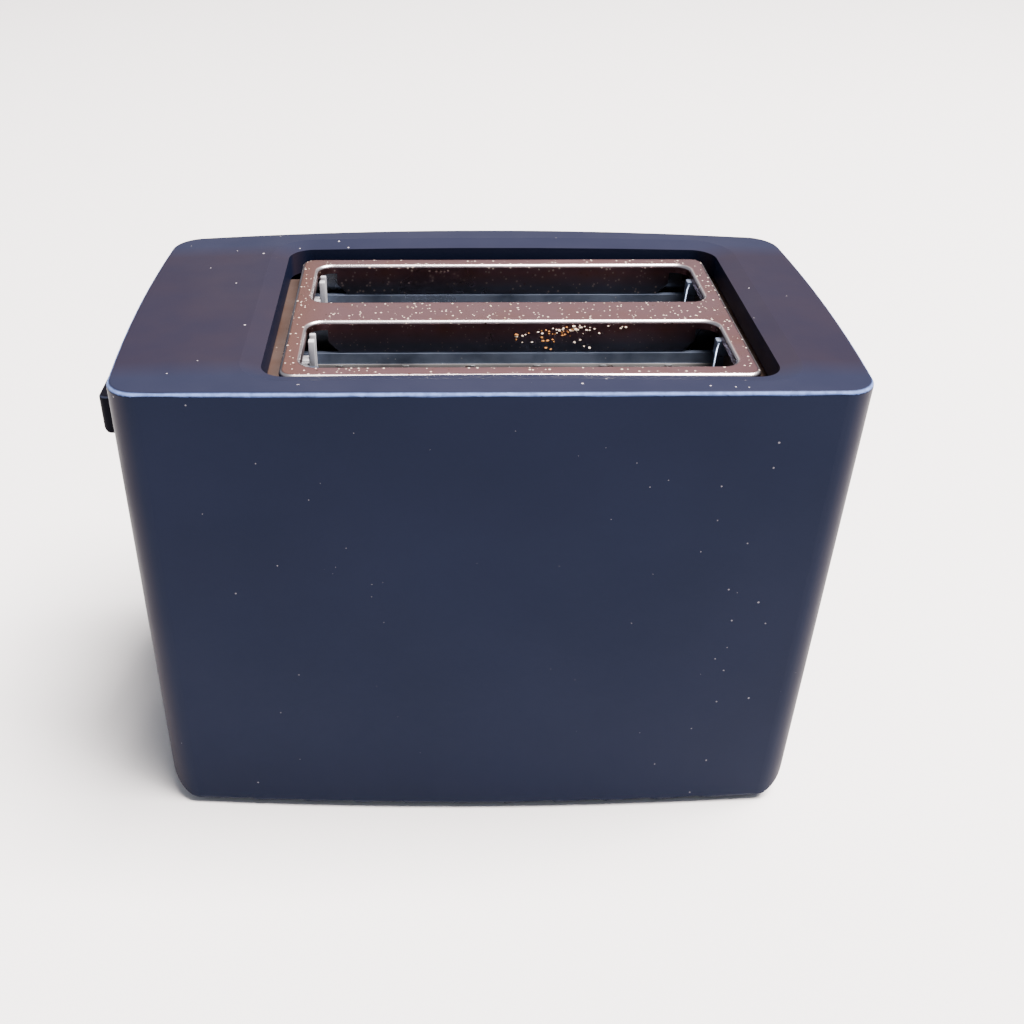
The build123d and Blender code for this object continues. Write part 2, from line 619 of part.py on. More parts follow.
def make_arm():
    """Flat arm from the slide, out through the housing's slot, into the lever."""
    half = ARM_HEIGHT / 2
    tip_x = LEVER_INNER_X - LEVER_SOCKET
    return block(tip_x, ROD_X - 3, -ARM_THICKNESS / 2, ARM_THICKNESS / 2, LEVER_Z - half, LEVER_Z + half)


def make_lever():
    """Lever: a rounded block with a socket for the arm."""
    half_y, half_z = LEVER_LENGTH / 2, LEVER_HEIGHT / 2
    knob = block(LEVER_OUTER_X, LEVER_INNER_X, -half_y, half_y, LEVER_Z - half_z, LEVER_Z + half_z)
    outer = [e for e in knob.edges() if abs(e.center().X - LEVER_OUTER_X) < 0.1]
    knob = fillet([e for e in outer if e.center().Z < LEVER_Z + 1], LEVER_ROUND)
    rest = [e for e in knob.edges() if abs(e.center().Z - LEVER_Z - half_z) < 0.1]
    knob = fillet(rest, 1.2)
    end_x = LEVER_INNER_X - LEVER_SOCKET
    half, low, high = ARM_THICKNESS / 2, LEVER_Z - ARM_HEIGHT / 2, LEVER_Z + ARM_HEIGHT / 2
    return knob - block(end_x, LEVER_INNER_X + 1, -half, half, low, high)


def make_keeper():
    """Iron plate under the arm that the electromagnet holds while the bread toasts."""
    half_x, half_y = KEEPER_LENGTH / 2, CORE_DEPTH / 2 - 1
    return block(MAGNET_X - half_x, MAGNET_X + half_x, -half_y, half_y, KEEPER_Z, KEEPER_Z + KEEPER_HEIGHT)


def make_rod(side):
    """Upright rod that the slide runs on."""
    return upright(ROD_RADIUS, ROD_X, side * ROD_Y, SHELF_Z, UPPER_BRACKET_Z)


def make_spring(side):
    """Coil spring round a guide rod, under the slide."""
    low, high = SHELF_Z + SPRING_WIRE / 2, SLEEVE_BOTTOM - SPRING_WIRE / 2
    path = Helix(pitch=(high - low) / SPRING_TURNS, height=high - low, radius=SPRING_RADIUS)
    section = Plane(origin=path @ 0, z_dir=path % 0) * Circle(SPRING_WIRE / 2)
    return Pos(ROD_X, side * ROD_Y, low) * sweep(section, path=path, is_frenet=True)


def make_lower_bracket():
    """Shelf on the left end plate that carries the rods and the magnet, with a leg down to the base."""
    half = ROD_Y + 8
    shelf = block(SHELF_END_X, END_LEFT, -half, half, LOWER_BRACKET_Z, SHELF_Z)
    flange = block(END_LEFT - BRACKET_THICKNESS, END_LEFT, -half, half, LOWER_BRACKET_Z - 10, SHELF_Z)
    leg = block(SHELF_END_X, SHELF_END_X + BRACKET_THICKNESS, -half, half, BASE_TOP, SHELF_Z)
    return fuse([shelf, flange, leg])


def make_upper_bracket():
    """Shelf that holds the tops of the rods."""
    half = ROD_Y + 6
    top = UPPER_BRACKET_Z + BRACKET_THICKNESS
    shelf = block(ROD_X - 5, END_LEFT, -half, half, UPPER_BRACKET_Z, top)
    return shelf + block(END_LEFT - BRACKET_THICKNESS, END_LEFT, -half, half, UPPER_BRACKET_Z, top + 6)


def make_magnet_core():
    """E-shaped core, its three legs upwards."""
    half_x, half_y = CORE_LENGTH / 2, CORE_DEPTH / 2
    core = block(MAGNET_X - half_x, MAGNET_X + half_x, -half_y, half_y, SHELF_Z, MAGNET_TOP)
    windows = []
    for _, side in SIDES:
        near, far = side * (CORE_LEG - 1), side * (half_y - CORE_LEG)
        windows.append(block(MAGNET_X - 10, MAGNET_X + 10, near, far, SHELF_Z + CORE_LEG, MAGNET_TOP + 1))
    return cut(core, windows)


def make_magnet_coil():
    """Winding round the core's middle leg."""
    low, high = SHELF_Z + CORE_LEG, MAGNET_TOP - 2
    room = CORE_DEPTH / 2 - CORE_LEG
    turns = room - 0.5 - (CORE_LEG - 1)
    coil = rounded_block(MAGNET_X, 0, CORE_LENGTH + 2 * turns, 2 * (room - 0.5), 3, low, high)
    half_x, half_y = CORE_LENGTH / 2, CORE_LEG - 1
    return coil - block(MAGNET_X - half_x, MAGNET_X + half_x, -half_y, half_y, low - 1, high + 1)


def make_main_switch():
    """Switch block beside the magnet, with two contact leaves on top."""
    x0, x1, y0, y1 = MAGNET_X - 7, MAGNET_X + 5, CORE_DEPTH / 2 + 2, CORE_DEPTH / 2 + 8
    body = block(x0, x1, y0, y1, SHELF_Z, SHELF_Z + 10)
    leaf_a = block(x0 + 1, x0 + 2, y0 + 1, y1 - 1, SHELF_Z + 9, SHELF_Z + 17)
    leaf_b = block(x0 + 5, x0 + 6, y0 + 1, y1 - 1, SHELF_Z + 9, SHELF_Z + 15)
    return fuse([body, leaf_a, leaf_b])


# ---- Controls ----

BUTTON_NAMES = ("cancel_button", "reheat_button", "defrost_button")


def button_heights():
    """Z of each button."""
    return [BUTTON_TOP_Z - index * BUTTON_PITCH for index in range(len(BUTTON_NAMES))]


def make_button(z):
    """Push button: a cap that stands out of the wall, a flange behind it and a stem to its switch."""
    wall_x = button_wall_x()
    flange_x = wall_x + WALL + MOVING_GAP
    stem_end = BOARD_X - SWITCH_HEIGHT - BUTTON_TRAVEL - MOVING_GAP
    cap = along_x(BUTTON_RADIUS, wall_x - BUTTON_PROUD, flange_x, BUTTON_Y, z)
    cap = fillet([e for e in cap.edges() if abs(e.center().X - wall_x + BUTTON_PROUD) < 0.1], 0.8)
    flange = along_x(BUTTON_RADIUS + 1.4, flange_x, flange_x + BUTTON_FLANGE, BUTTON_Y, z)
    stem = along_x(BUTTON_STEM, flange_x, stem_end, BUTTON_Y, z)
    return fuse([cap, flange, stem])


def make_button_frame():
    """Plate that guides the button stems, on four posts from the control board."""
    x0 = button_wall_x() + WALL + 2 * MOVING_GAP + BUTTON_FLANGE + BUTTON_TRAVEL
    x1 = x0 + FRAME_PLATE
    low = button_heights()[-1] - 8
    high = BOARD_TOP_Z - 1
    pieces = [block(x0, x1, BUTTON_Y - 9, BUTTON_Y + 9, low, high)]
    for y in (BUTTON_Y - 7.3, BUTTON_Y + 7.3):
        for z in (low + 1.8, high - 1.8):
            pieces.append(along_x(1.5, x0, BOARD_X, y, z))
    holes = [along_x(BUTTON_STEM + 0.4, x0 - 1, x1 + 1, BUTTON_Y, z) for z in button_heights()]
    return cut(fuse(pieces), holes)


def make_board():
    """Control board, upright behind the end wall."""
    return block(BOARD_X, BOARD_X + BOARD_THICKNESS, BOARD_FRONT_Y, BOARD_REAR_Y, BASE_TOP + 1.6, BOARD_TOP_Z)


def make_switches():
    """The three small switches behind the buttons."""
    half = SWITCH_SIZE / 2
    y0, y1 = BUTTON_Y - half, BUTTON_Y + half
    x0 = BOARD_X - SWITCH_HEIGHT
    return group([block(x0, BOARD_X, y0, y1, z - half, z + half) for z in button_heights()])


def make_dial_body():
    """Body of the browning control, with a blind bore for its shaft."""
    face = BOARD_X - DIAL_BODY_DEPTH
    body = along_x(DIAL_BODY_RADIUS, face, BOARD_X, 0, KNOB_Z)
    return body - along_x(SHAFT_RADIUS + SHAFT_CLEARANCE, face - 1, BOARD_X - 1.5, 0, KNOB_Z)


def make_shaft():
    """Shaft of the browning control."""
    knob_x = -BODY_LENGTH / 2 - KNOB_WALL_GAP - KNOB_DEPTH
    return along_x(SHAFT_RADIUS, knob_x + 1.6, BOARD_X - 2, 0, KNOB_Z)


def make_knob():
    """Browning knob: a round skirt with a raised grip and a pointer notch."""
    inner = -BODY_LENGTH / 2 - KNOB_WALL_GAP
    outer = inner - KNOB_DEPTH
    skirt = along_x(KNOB_RADIUS, outer + 3.2, inner, 0, KNOB_Z)
    grip = along_x(KNOB_RADIUS - 2.5, outer, inner, 0, KNOB_Z)
    grip = fillet([e for e in grip.edges() if abs(e.center().X - outer) < 0.1], 1.0)
    knob = skirt + grip
    notch = block(outer - 1, outer + 0.8, -0.8, 0.8, KNOB_Z + 3, KNOB_Z + KNOB_RADIUS)
    return cut(knob, [notch, along_x(SHAFT_RADIUS, outer + 1.6, inner + 1, 0, KNOB_Z)])


# ---- Base, feet, tray, inlet and screws ----


def chassis_screw_points():
    """X and Y of the four screws that hold the chassis down."""
    xs = (END_LEFT - CHASSIS_SCREW_X, END_RIGHT + CHASSIS_SCREW_X)
    return [(x, side * CHASSIS_SCREW_Y) for x in xs for _, side in SIDES]


def housing_screw_points():
    """X and Y of the four screws that hold the base to the housing."""
    return [(end * HOUSING_BOSS_X, side * HOUSING_BOSS_Y) for _, end in ENDS for _, side in SIDES]


def foot_points():
    """Name, X and Y of each foot."""
    return [(f"foot_{s}_{e}", end * FOOT_X, side * FOOT_Y) for e, end in ENDS for s, side in SIDES]


def make_base():
    """Moulded floor inside the housing: chassis bosses, tray guides and slots for the control board."""
    heel = HEEL_RADIUS - WALL
    end_inset = BASE_INSET + heel - (heel**2 - (heel - BASE_GAP) ** 2) ** 0.5
    length, depth = BODY_LENGTH - 2 * end_inset, BODY_DEPTH - 2 * BASE_INSET
    pieces = [extrude(Pos(0, 0, BASE_Z) * bowed_plan(length, depth, CORNER_RADIUS), BASE_THICKNESS)]
    for x, y in chassis_screw_points():
        pieces.append(upright(BOSS_RADIUS, x, y, BASE_Z, CHASSIS_Z))
    for _, side in SIDES:
        near = side * (TRAY_HALF_Y + MOVING_GAP)
        pieces.append(block(INSIDE_LEFT, END_RIGHT, near, near + side, BASE_Z, BASE_TOP + 4))
    slot_x0, slot_x1 = BOARD_X - 0.1, BOARD_X + BOARD_THICKNESS + 0.1
    holes = []
    for y in (BOARD_FRONT_Y + 6, BOARD_REAR_Y - 6):
        pieces.append(block(slot_x0 - 1.1, slot_x1 + 1.1, y - 4, y + 4, BASE_TOP - 1, BASE_TOP + 6))
        holes.append(block(slot_x0, slot_x1, y - 5, y + 5, BASE_TOP + 1.6, BASE_TOP + 7))
    pilot = SCREW_RADIUS + PILOT_GAP
    holes += [upright(pilot, x, y, BASE_Z - 1, CHASSIS_Z + 1) for x, y in chassis_screw_points()]
    holes += [upright(pilot, x, y, BASE_Z - 1, BASE_TOP + 1) for x, y in housing_screw_points()]
    holes += [upright(FOOT_PIN, x, y, BASE_Z - 1, BASE_TOP + 1) for _, x, y in foot_points()]
    return cut(fuse(pieces), holes)


def make_foot(x, y):
    """Rubber foot with a pin that fills its hole in the base."""
    pad = upright(FOOT_RADIUS, x, y, 0, BASE_Z)
    pad = chamfer(edges_between(pad, -0.1, 0.1), 0.8)
    return pad + upright(FOOT_PIN, x, y, BASE_Z - 0.5, BASE_TOP + 2)


def make_tray():
    """Folded sheet pan under the well."""
    x0 = INSIDE_LEFT + 2
    pan = block(x0, HANDLE_INNER_X, -TRAY_HALF_Y, TRAY_HALF_Y, TRAY_Z, TRAY_Z + TRAY_HEIGHT)
    inner_y = TRAY_HALF_Y - SHEET
    return pan - block(x0 + SHEET, HANDLE_INNER_X - SHEET, -inner_y, inner_y, TRAY_Z + SHEET, TRAY_Z + 20)


def make_tray_handle(outside):
    """Front of the tray, flush with the end wall, with a finger groove."""
    low, high = TRAY_Z + 0.3, HANDLE_TOP_Z
    blank = block(HANDLE_INNER_X, BODY_LENGTH / 2 + 1, -HANDLE_SIDE, HANDLE_SIDE, low, high)
    handle = blank & outside
    groove = along_y(GRIP_RADIUS, BODY_LENGTH / 2, -26, 26, (TRAY_Z + HANDLE_TOP_Z) / 2)
    return handle - groove


def make_cord_bush():
    """Cord bush: a flanged sleeve through the rear wall near the lever end."""
    outside = long_wall_y(CORD_X + BUSH_FLANGE) + FIT_GAP
    inside = long_wall_y(CORD_X - BUSH_FLANGE) - WALL - 2 * FIT_GAP
    face, inner = outside + BUSH_FLANGE_THICKNESS, inside - 2 * BUSH_FLANGE_THICKNESS
    pieces = [
        along_y(BUSH_NECK, CORD_X, inner, face, CORD_Z),
        along_y(BUSH_FLANGE, CORD_X, outside, face, CORD_Z),
        along_y(BUSH_FLANGE - 1, CORD_X, inner, inside, CORD_Z),
    ]
    return cut(fuse(pieces), [along_y(CORD_BORE, CORD_X, inner - 1, face + 1, CORD_Z)])


def make_terminal_block():
    """Terminal block on the base beside the cord inlet."""
    y0 = BODY_DEPTH / 2 - 18
    top = BASE_TOP + 9
    terminals = block(CORD_X - 9, CORD_X + 9, y0, y0 + 9, BASE_TOP, top)
    holes = [upright(1.8, CORD_X + step, y0 + 4.5, top - 5, top + 1) for step in (-6, 0, 6)]
    return cut(terminals, holes)


def make_screw(x, y, seat_z, direction):
    """Round-headed screw: its head sits on seat_z and its shank runs in the given direction."""
    tip = seat_z + direction * SCREW_LENGTH
    head = seat_z - direction * SCREW_HEAD
    shank = upright(SCREW_RADIUS, x, y, min(seat_z, tip), max(seat_z, tip))
    cap = upright(SCREW_HEAD_RADIUS, x, y, min(seat_z, head), max(seat_z, head))
    return shank + cap


def make_chassis_screws():
    """Screws through the feet of the end plates into the base."""
    return group([make_screw(x, y, CHASSIS_Z + SHEET, -1) for x, y in chassis_screw_points()])


def make_housing_screws():
    """Screws up through the base into the housing."""
    return group([make_screw(x, y, BASE_Z, 1) for x, y in housing_screw_points()])


def all_parts():
    """Every piece, by name."""
    outside = outer_form()
    parts = {
        "housing": make_housing(outside),
        "top_plate": make_top_plate(),
        "centre_reflector": make_centre_reflector(),
        "upper_channels": make_channels(True),
        "lower_channels": make_channels(False),
        "carriage_plate": make_carriage_plate(),
        "carriage_slide": make_slide(),
        "lever_arm": make_arm(),
        "lever_knob": make_lever(),
        "keeper": make_keeper(),
        "lower_bracket": make_lower_bracket(),
        "upper_bracket": make_upper_bracket(),
        "magnet_core": make_magnet_core(),
        "magnet_coil": make_magnet_coil(),
        "main_switch": make_main_switch(),
        "control_board": make_board(),
        "button_switches": make_switches(),
        "button_frame": make_button_frame(),
        "dial_body": make_dial_body(),
        "dial_shaft": make_shaft(),
        "browning_knob": make_knob(),
        "base_plate": make_base(),
        "crumb_tray": make_tray(),
        "tray_handle": make_tray_handle(outside),
        "cord_bush": make_cord_bush(),
        "terminal_block": make_terminal_block(),
        "chassis_screws": make_chassis_screws(),
        "housing_screws": make_housing_screws(),
    }
    for name, z in zip(BUTTON_NAMES, button_heights()):
        parts[name] = make_button(z)
    for name, x, y in foot_points():
        parts[name] = make_foot(x, y)
    for end, side in ENDS:
        parts[f"end_plate_{end}"] = make_end_plate(side)
    for slot, side in SIDES:
        parts[f"reflector_{slot}"] = make_reflector(side)
        parts[f"bread_rack_{slot}"] = make_rack(side)
        parts[f"guide_rod_{slot}"] = make_rod(side)
        parts[f"carriage_spring_{slot}"] = make_spring(side)
        for place, card_y, guard_y in zip(("inner", "outer"), card_rows(side), guard_rows(side)):
            parts[f"heater_card_{slot}_{place}"] = make_card(card_y)
            parts[f"heater_ribbon_{slot}_{place}"] = make_ribbon(card_y)
            parts[f"bread_guard_{slot}_{place}"] = make_guard(guard_y)
    return parts


def main():
    """Write every piece as a STEP file."""
    os.makedirs("parts", exist_ok=True)
    for name, part in all_parts().items():
        export_step(Pos(ORIGIN_SHIFT_X, 0, 0) * part, f"parts/{name}.step")


main()
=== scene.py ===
"""The looks of a two-slot pop-up toaster: finishes, small fittings, crumbs, light and camera."""

import json
import logging
import math
import random
from dataclasses import dataclass, field
from enum import Enum
from itertools import product

import bpy
from mathutils import Matrix, Vector

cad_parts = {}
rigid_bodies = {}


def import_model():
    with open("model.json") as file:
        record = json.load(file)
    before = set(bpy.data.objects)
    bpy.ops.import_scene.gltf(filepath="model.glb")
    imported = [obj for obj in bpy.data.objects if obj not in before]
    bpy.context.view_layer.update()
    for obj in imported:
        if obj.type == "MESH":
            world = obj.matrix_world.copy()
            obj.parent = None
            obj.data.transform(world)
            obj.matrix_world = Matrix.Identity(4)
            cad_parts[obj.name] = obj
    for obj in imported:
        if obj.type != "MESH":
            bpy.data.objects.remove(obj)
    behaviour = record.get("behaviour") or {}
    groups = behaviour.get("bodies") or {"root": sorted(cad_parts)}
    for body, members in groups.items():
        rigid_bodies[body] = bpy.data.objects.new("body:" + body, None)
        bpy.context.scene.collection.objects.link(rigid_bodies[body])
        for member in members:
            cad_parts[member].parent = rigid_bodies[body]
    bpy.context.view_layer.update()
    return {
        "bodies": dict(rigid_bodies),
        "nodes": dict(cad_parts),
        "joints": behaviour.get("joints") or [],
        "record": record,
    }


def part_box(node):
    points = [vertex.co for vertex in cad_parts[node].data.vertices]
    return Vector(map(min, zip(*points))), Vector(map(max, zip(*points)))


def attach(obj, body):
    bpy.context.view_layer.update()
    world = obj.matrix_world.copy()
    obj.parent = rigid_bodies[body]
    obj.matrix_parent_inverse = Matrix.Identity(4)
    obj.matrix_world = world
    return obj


MM = 0.001
WAVE_BANDS = 3.2  # bands that a wave texture draws per unit at scale one
LOG = logging.getLogger("toaster")


def linear(code: str) -> tuple[float, float, float, float]:
    """Turn an sRGB colour into linear light.

    Args:
        code: Six hex digits.

    Returns:
        Red, green, blue and an alpha of one.
    """
    values = [int(code[i : i + 2], 16) / 255 for i in (0, 2, 4)]
    curve = [v / 12.92 if v <= 0.04045 else ((v + 0.055) / 1.055) ** 2.4 for v in values]
    return (curve[0], curve[1], curve[2], 1.0)


def per_mm(size: float) -> float:
    """Texture scale at which one pattern cell is size millimetres across."""
    return 1.0 / (size * MM)


def add_node(
    tree: bpy.types.NodeTree, kind: str, inputs: dict | None = None, **settings: object
) -> bpy.types.Node:
    """Add a node, set it up and link it.

    Args:
        tree: The material's node tree.
        kind: The node's type.
        inputs: Values or output sockets, by input name or number.
        **settings: The node's own properties.

    Returns:
        The new node.
    """
    node = tree.nodes.new(kind)
    for name, value in settings.items():
        setattr(node, name, value)
    for name, value in (inputs or {}).items():
        if isinstance(value, bpy.types.NodeSocket):
            tree.links.new(value, node.inputs[name])
        else:
            node.inputs[name].default_value = value
    return node


# ---- Finishes ----


@dataclass(frozen=True)
class Finish:
    """What a surface is made of and how it was made."""

    name: str
    colour: str
    roughness: float = 0.5
    metallic: float = 0.0
    grain_mm: float = 0.5
    grain_depth: float = 0.1

    def material(self) -> bpy.types.Material:
        """Build the material, or find it if it was built before.

        Returns:
            The material.
        """
        known = bpy.data.materials.get(self.name)
        if known:
            return known
        made = bpy.data.materials.new(self.name)
        made.use_nodes = True
        tree = made.node_tree
        tree.nodes.clear()
        settings = {
            "Base Color": linear(self.colour),
            "Roughness": self.roughness,
            "Metallic": self.metallic,
        }
        shader = add_node(tree, "ShaderNodeBsdfPrincipled", settings)
        add_node(tree, "ShaderNodeOutputMaterial", {"Surface": shader.outputs[0]})
        self.paint(tree, shader)
        return made

    def paint(self, tree: bpy.types.NodeTree, shader: bpy.types.Node) -> None:
        """Give the surface its grain: a fine bump and a slow drift of gloss.

        Args:
            tree: The material's node tree.
            shader: Its principled shader.
        """
        place = add_node(tree, "ShaderNodeTexCoord").outputs["Object"]
        self.add_grain(tree, shader, place)
        self.vary_gloss(tree, shader, place, 0.06)

    def add_grain(
        self, tree: bpy.types.NodeTree, shader: bpy.types.Node, place: bpy.types.NodeSocket
    ) -> None:
        """Bump the surface at the size of its grain.

        Args:
            tree: The material's node tree.
            shader: Its principled shader.
            place: Where on the piece the pattern is read.
        """
        settings = {"Vector": place, "Scale": per_mm(self.grain_mm), "Detail": 2.0}
        noise = add_node(tree, "ShaderNodeTexNoise", settings)
        bump = add_node(
            tree,
            "ShaderNodeBump",
            {"Height": noise.outputs["Fac"], "Strength": self.grain_depth, "Distance": 0.05 * MM},
        )
        tree.links.new(bump.outputs["Normal"], shader.inputs["Normal"])

    def vary_gloss(
        self, tree: bpy.types.NodeTree, shader: bpy.types.Node, place: bpy.types.NodeSocket, spread: float
    ) -> None:
        """Let the gloss drift over the surface, as handling leaves it.

        Args:
            tree: The material's node tree.
            shader: Its principled shader.
            place: Where on the piece the pattern is read.
            spread: How far the roughness goes to each side.
        """
        noise = add_node(tree, "ShaderNodeTexNoise", {"Vector": place, "Scale": per_mm(28.0), "Detail": 3.0})
        limits = (self.roughness - spread, self.roughness + spread)
        gloss = between(tree, noise.outputs["Fac"], (0.3, 0.7), limits)
        tree.links.new(gloss, shader.inputs["Roughness"])


def combine(tree: bpy.types.NodeTree, operation: str, first: object, second: object) -> bpy.types.NodeSocket:
    """Work out one sum of two values or sockets."""
    return add_node(tree, "ShaderNodeMath", {0: first, 1: second}, operation=operation).outputs[0]


def specks(
    tree: bpy.types.NodeTree, place: bpy.types.NodeSocket, cell_mm: float, radius: float, share: float
) -> bpy.types.NodeSocket:
    """Scatter small round specks.

    Args:
        tree: The material's node tree.
        place: Where on the piece the pattern is read.
        cell_mm: Distance between places where a speck may lie.
        radius: Speck radius as a part of that distance.
        share: Part of the places that hold a speck.

    Returns:
        A socket that is one on a speck and nought beside it.
    """
    settings = {"Vector": place, "Scale": per_mm(cell_mm), "Randomness": 1.0}
    cells = add_node(tree, "ShaderNodeTexVoronoi", settings)
    lot = add_node(tree, "ShaderNodeSeparateColor", {"Color": cells.outputs["Color"]})
    size = combine(tree, "MULTIPLY", lot.outputs["Green"], radius)
    near = combine(tree, "LESS_THAN", cells.outputs["Distance"], size)
    chosen = combine(tree, "LESS_THAN", lot.outputs["Red"], share)
    return combine(tree, "MULTIPLY", near, chosen)


def between(
    tree: bpy.types.NodeTree,
    value: bpy.types.NodeSocket,
    span: tuple[float, float],
    result: tuple[float, float],
) -> bpy.types.NodeSocket:
    """Turn one span of a value into another, held at both ends.

    Args:
        tree: The material's node tree.
        value: The value that is read.
        span: Its low and high.
        result: What the low and the high become.

    Returns:
        The new value's socket.
    """
    inputs = {"Value": value, "From Min": span[0], "From Max": span[1]}
    inputs |= {"To Min": result[0], "To Max": result[1]}
    return add_node(tree, "ShaderNodeMapRange", inputs).outputs["Result"]


def multiply(
    tree: bpy.types.NodeTree, first: bpy.types.NodeSocket, second: bpy.types.NodeSocket
) -> bpy.types.NodeSocket:
    """Multiply two values."""
    return combine(tree, "MULTIPLY", first, second)


def blend_colours(
    tree: bpy.types.NodeTree, factor: bpy.types.NodeSocket, low: object, high: object
) -> bpy.types.NodeSocket:
    """Mix two colours.

    Args:
        tree: The material's node tree.
        factor: Nought for the first colour, one for the second.
        low: First colour, as a value or a socket.
        high: Second colour.

    Returns:
        The mixed colour's socket.
    """
    mix = add_node(tree, "ShaderNodeMix", data_type="RGBA")
    tree.links.new(factor, mix.inputs[0])
    for number, colour in ((6, low), (7, high)):
        if isinstance(colour, bpy.types.NodeSocket):
            tree.links.new(colour, mix.inputs[number])
        else:
            mix.inputs[number].default_value = colour
    return mix.outputs[2]


@dataclass(frozen=True)
class MouldedShell(Finish):
    """Injection-moulded ABS from a spark-eroded mould.

    It gives the eye a satin skin with painted light on it: a painted reflection that makes its top warmer
    and paler, a painted highlight along its upper edges, a painted reflection at its corners, and fine dust
    lies on it.
    """

    tint: str = "151A2D"
    # Colour of the painted reflection on the top, also used for the painted reflection at the corners.
    film: str = "262029"
    # Colour of the painted top reflection on the strips beside the opening.
    strip_sheen: str = "242636"
    # Colour of the painted highlight along the upper edges.
    edge_highlight: str = "6A80B8"
    dust: str = "ACA7AC"
    gleam: float = 0.04
    dusty: float = 1.0

    def paint(self, tree: bpy.types.NodeTree, shader: bpy.types.Node) -> None:
        """Add colour drift, painted reflections on the top and corners, a painted edge highlight, dust and
        the mould's fine texture.

        Args:
            tree: The material's node tree.
            shader: Its principled shader.
        """
        shader.inputs["Specular IOR Level"].default_value = self.gleam
        place = add_node(tree, "ShaderNodeTexCoord").outputs["Object"]
        drift = add_node(
            tree, "ShaderNodeTexNoise", {"Vector": place, "Scale": per_mm(60.0), "Detail": 4.0}
        )
        colour = blend_colours(tree, drift.outputs["Fac"], linear(self.colour), linear(self.tint))
        normal = add_node(tree, "ShaderNodeNewGeometry").outputs["Normal"]
        facing = add_node(tree, "ShaderNodeSeparateXYZ", {"Vector": normal})
        up = facing.outputs["Z"]
        # Painted reflection: faces that look up are blended, in clouds, towards a warmer and paler colour,
        # as the overhead light shows them.
        level = between(tree, up, (0.4, 0.95), (0.0, 1.0))
        clouds = add_node(
            tree, "ShaderNodeTexNoise", {"Vector": place, "Scale": per_mm(22.0), "Detail": 5.0}
        )
        film = multiply(tree, level, between(tree, clouds.outputs["Fac"], (0.3, 0.7), (0.55, 0.8)))
        side = add_node(tree, "ShaderNodeSeparateXYZ", {"Vector": place})
        outward = add_node(tree, "ShaderNodeMath", {0: side.outputs["Y"]}, operation="ABSOLUTE")
        # The painted top reflection is bluer on the strips in front of and behind the opening.
        strip = between(tree, outward.outputs[0], (48 * MM, 60 * MM), (0.0, 1.0))
        top_sheen = blend_colours(tree, strip, linear(self.film), linear(self.strip_sheen))
        colour = blend_colours(tree, film, colour, top_sheen)
        # Painted highlight: a pale bluish band where faces turn from the top towards the sides, broken up by
        # noise.
        rise = between(tree, up, (0.25, 0.5), (0.0, 1.0))
        edge = multiply(tree, rise, between(tree, up, (0.75, 0.93), (1.0, 0.0)))
        glint_breakup = add_node(
            tree, "ShaderNodeTexNoise", {"Vector": place, "Scale": per_mm(2.5), "Detail": 3.0}
        )
        edge_glint = multiply(tree, edge, between(tree, glint_breakup.outputs["Fac"], (0.3, 0.6), (0.6, 1.0)))
        colour = blend_colours(tree, edge_glint, colour, linear(self.edge_highlight))
        # Painted reflection: faces that turn from the front or back towards the ends, and do not look up,
        # are blended towards the colour of the painted top reflection, as warm surroundings mirrored at the
        # vertical corners.
        across = add_node(tree, "ShaderNodeMath", {0: facing.outputs["X"]}, operation="ABSOLUTE")
        sideways = across.outputs[0]
        turning = between(tree, sideways, (0.3, 0.8), (0.0, 0.75))
        corner = multiply(tree, turning, between(tree, sideways, (0.85, 0.98), (1.0, 0.0)))
        corner = multiply(tree, corner, between(tree, up, (0.1, 0.3), (1.0, 0.0)))
        colour = blend_colours(tree, corner, colour, linear(self.film))
        dust = self.scatter_dust(tree, place, between(tree, up, (0.2, 0.9), (0.35, 1.0)))
        colour = blend_colours(tree, dust, colour, linear(self.dust))
        tree.links.new(colour, shader.inputs["Base Color"])
        self.add_grain(tree, shader, place)
        self.vary_gloss(tree, shader, place, 0.05)

    def scatter_dust(
        self, tree: bpy.types.NodeTree, place: bpy.types.NodeSocket, level: bpy.types.NodeSocket
    ) -> bpy.types.NodeSocket:
        """Scatter fine and coarse dust and a few fibres.

        Args:
            tree: The material's node tree.
            place: Where on the piece the pattern is read.
            level: How dusty the surface is there.

        Returns:
            A socket that is one on a grain of dust.
        """
        fine = specks(tree, place, 4.0, 0.10, 0.22 * self.dusty)
        coarse = specks(tree, place, 13.0, 0.045, 0.35 * self.dusty)
        lie = {"Vector": place, "Rotation": (0.5, 0.4, 0.7), "Scale": (0.22, 1.0, 1.0)}
        stretch = add_node(tree, "ShaderNodeMapping", lie)
        fibre = specks(tree, stretch.outputs[0], 5.0, 0.045, 0.10 * self.dusty)
        grains = combine(tree, "MAXIMUM", combine(tree, "MAXIMUM", fine, coarse), fibre)
        return multiply(tree, grains, level)


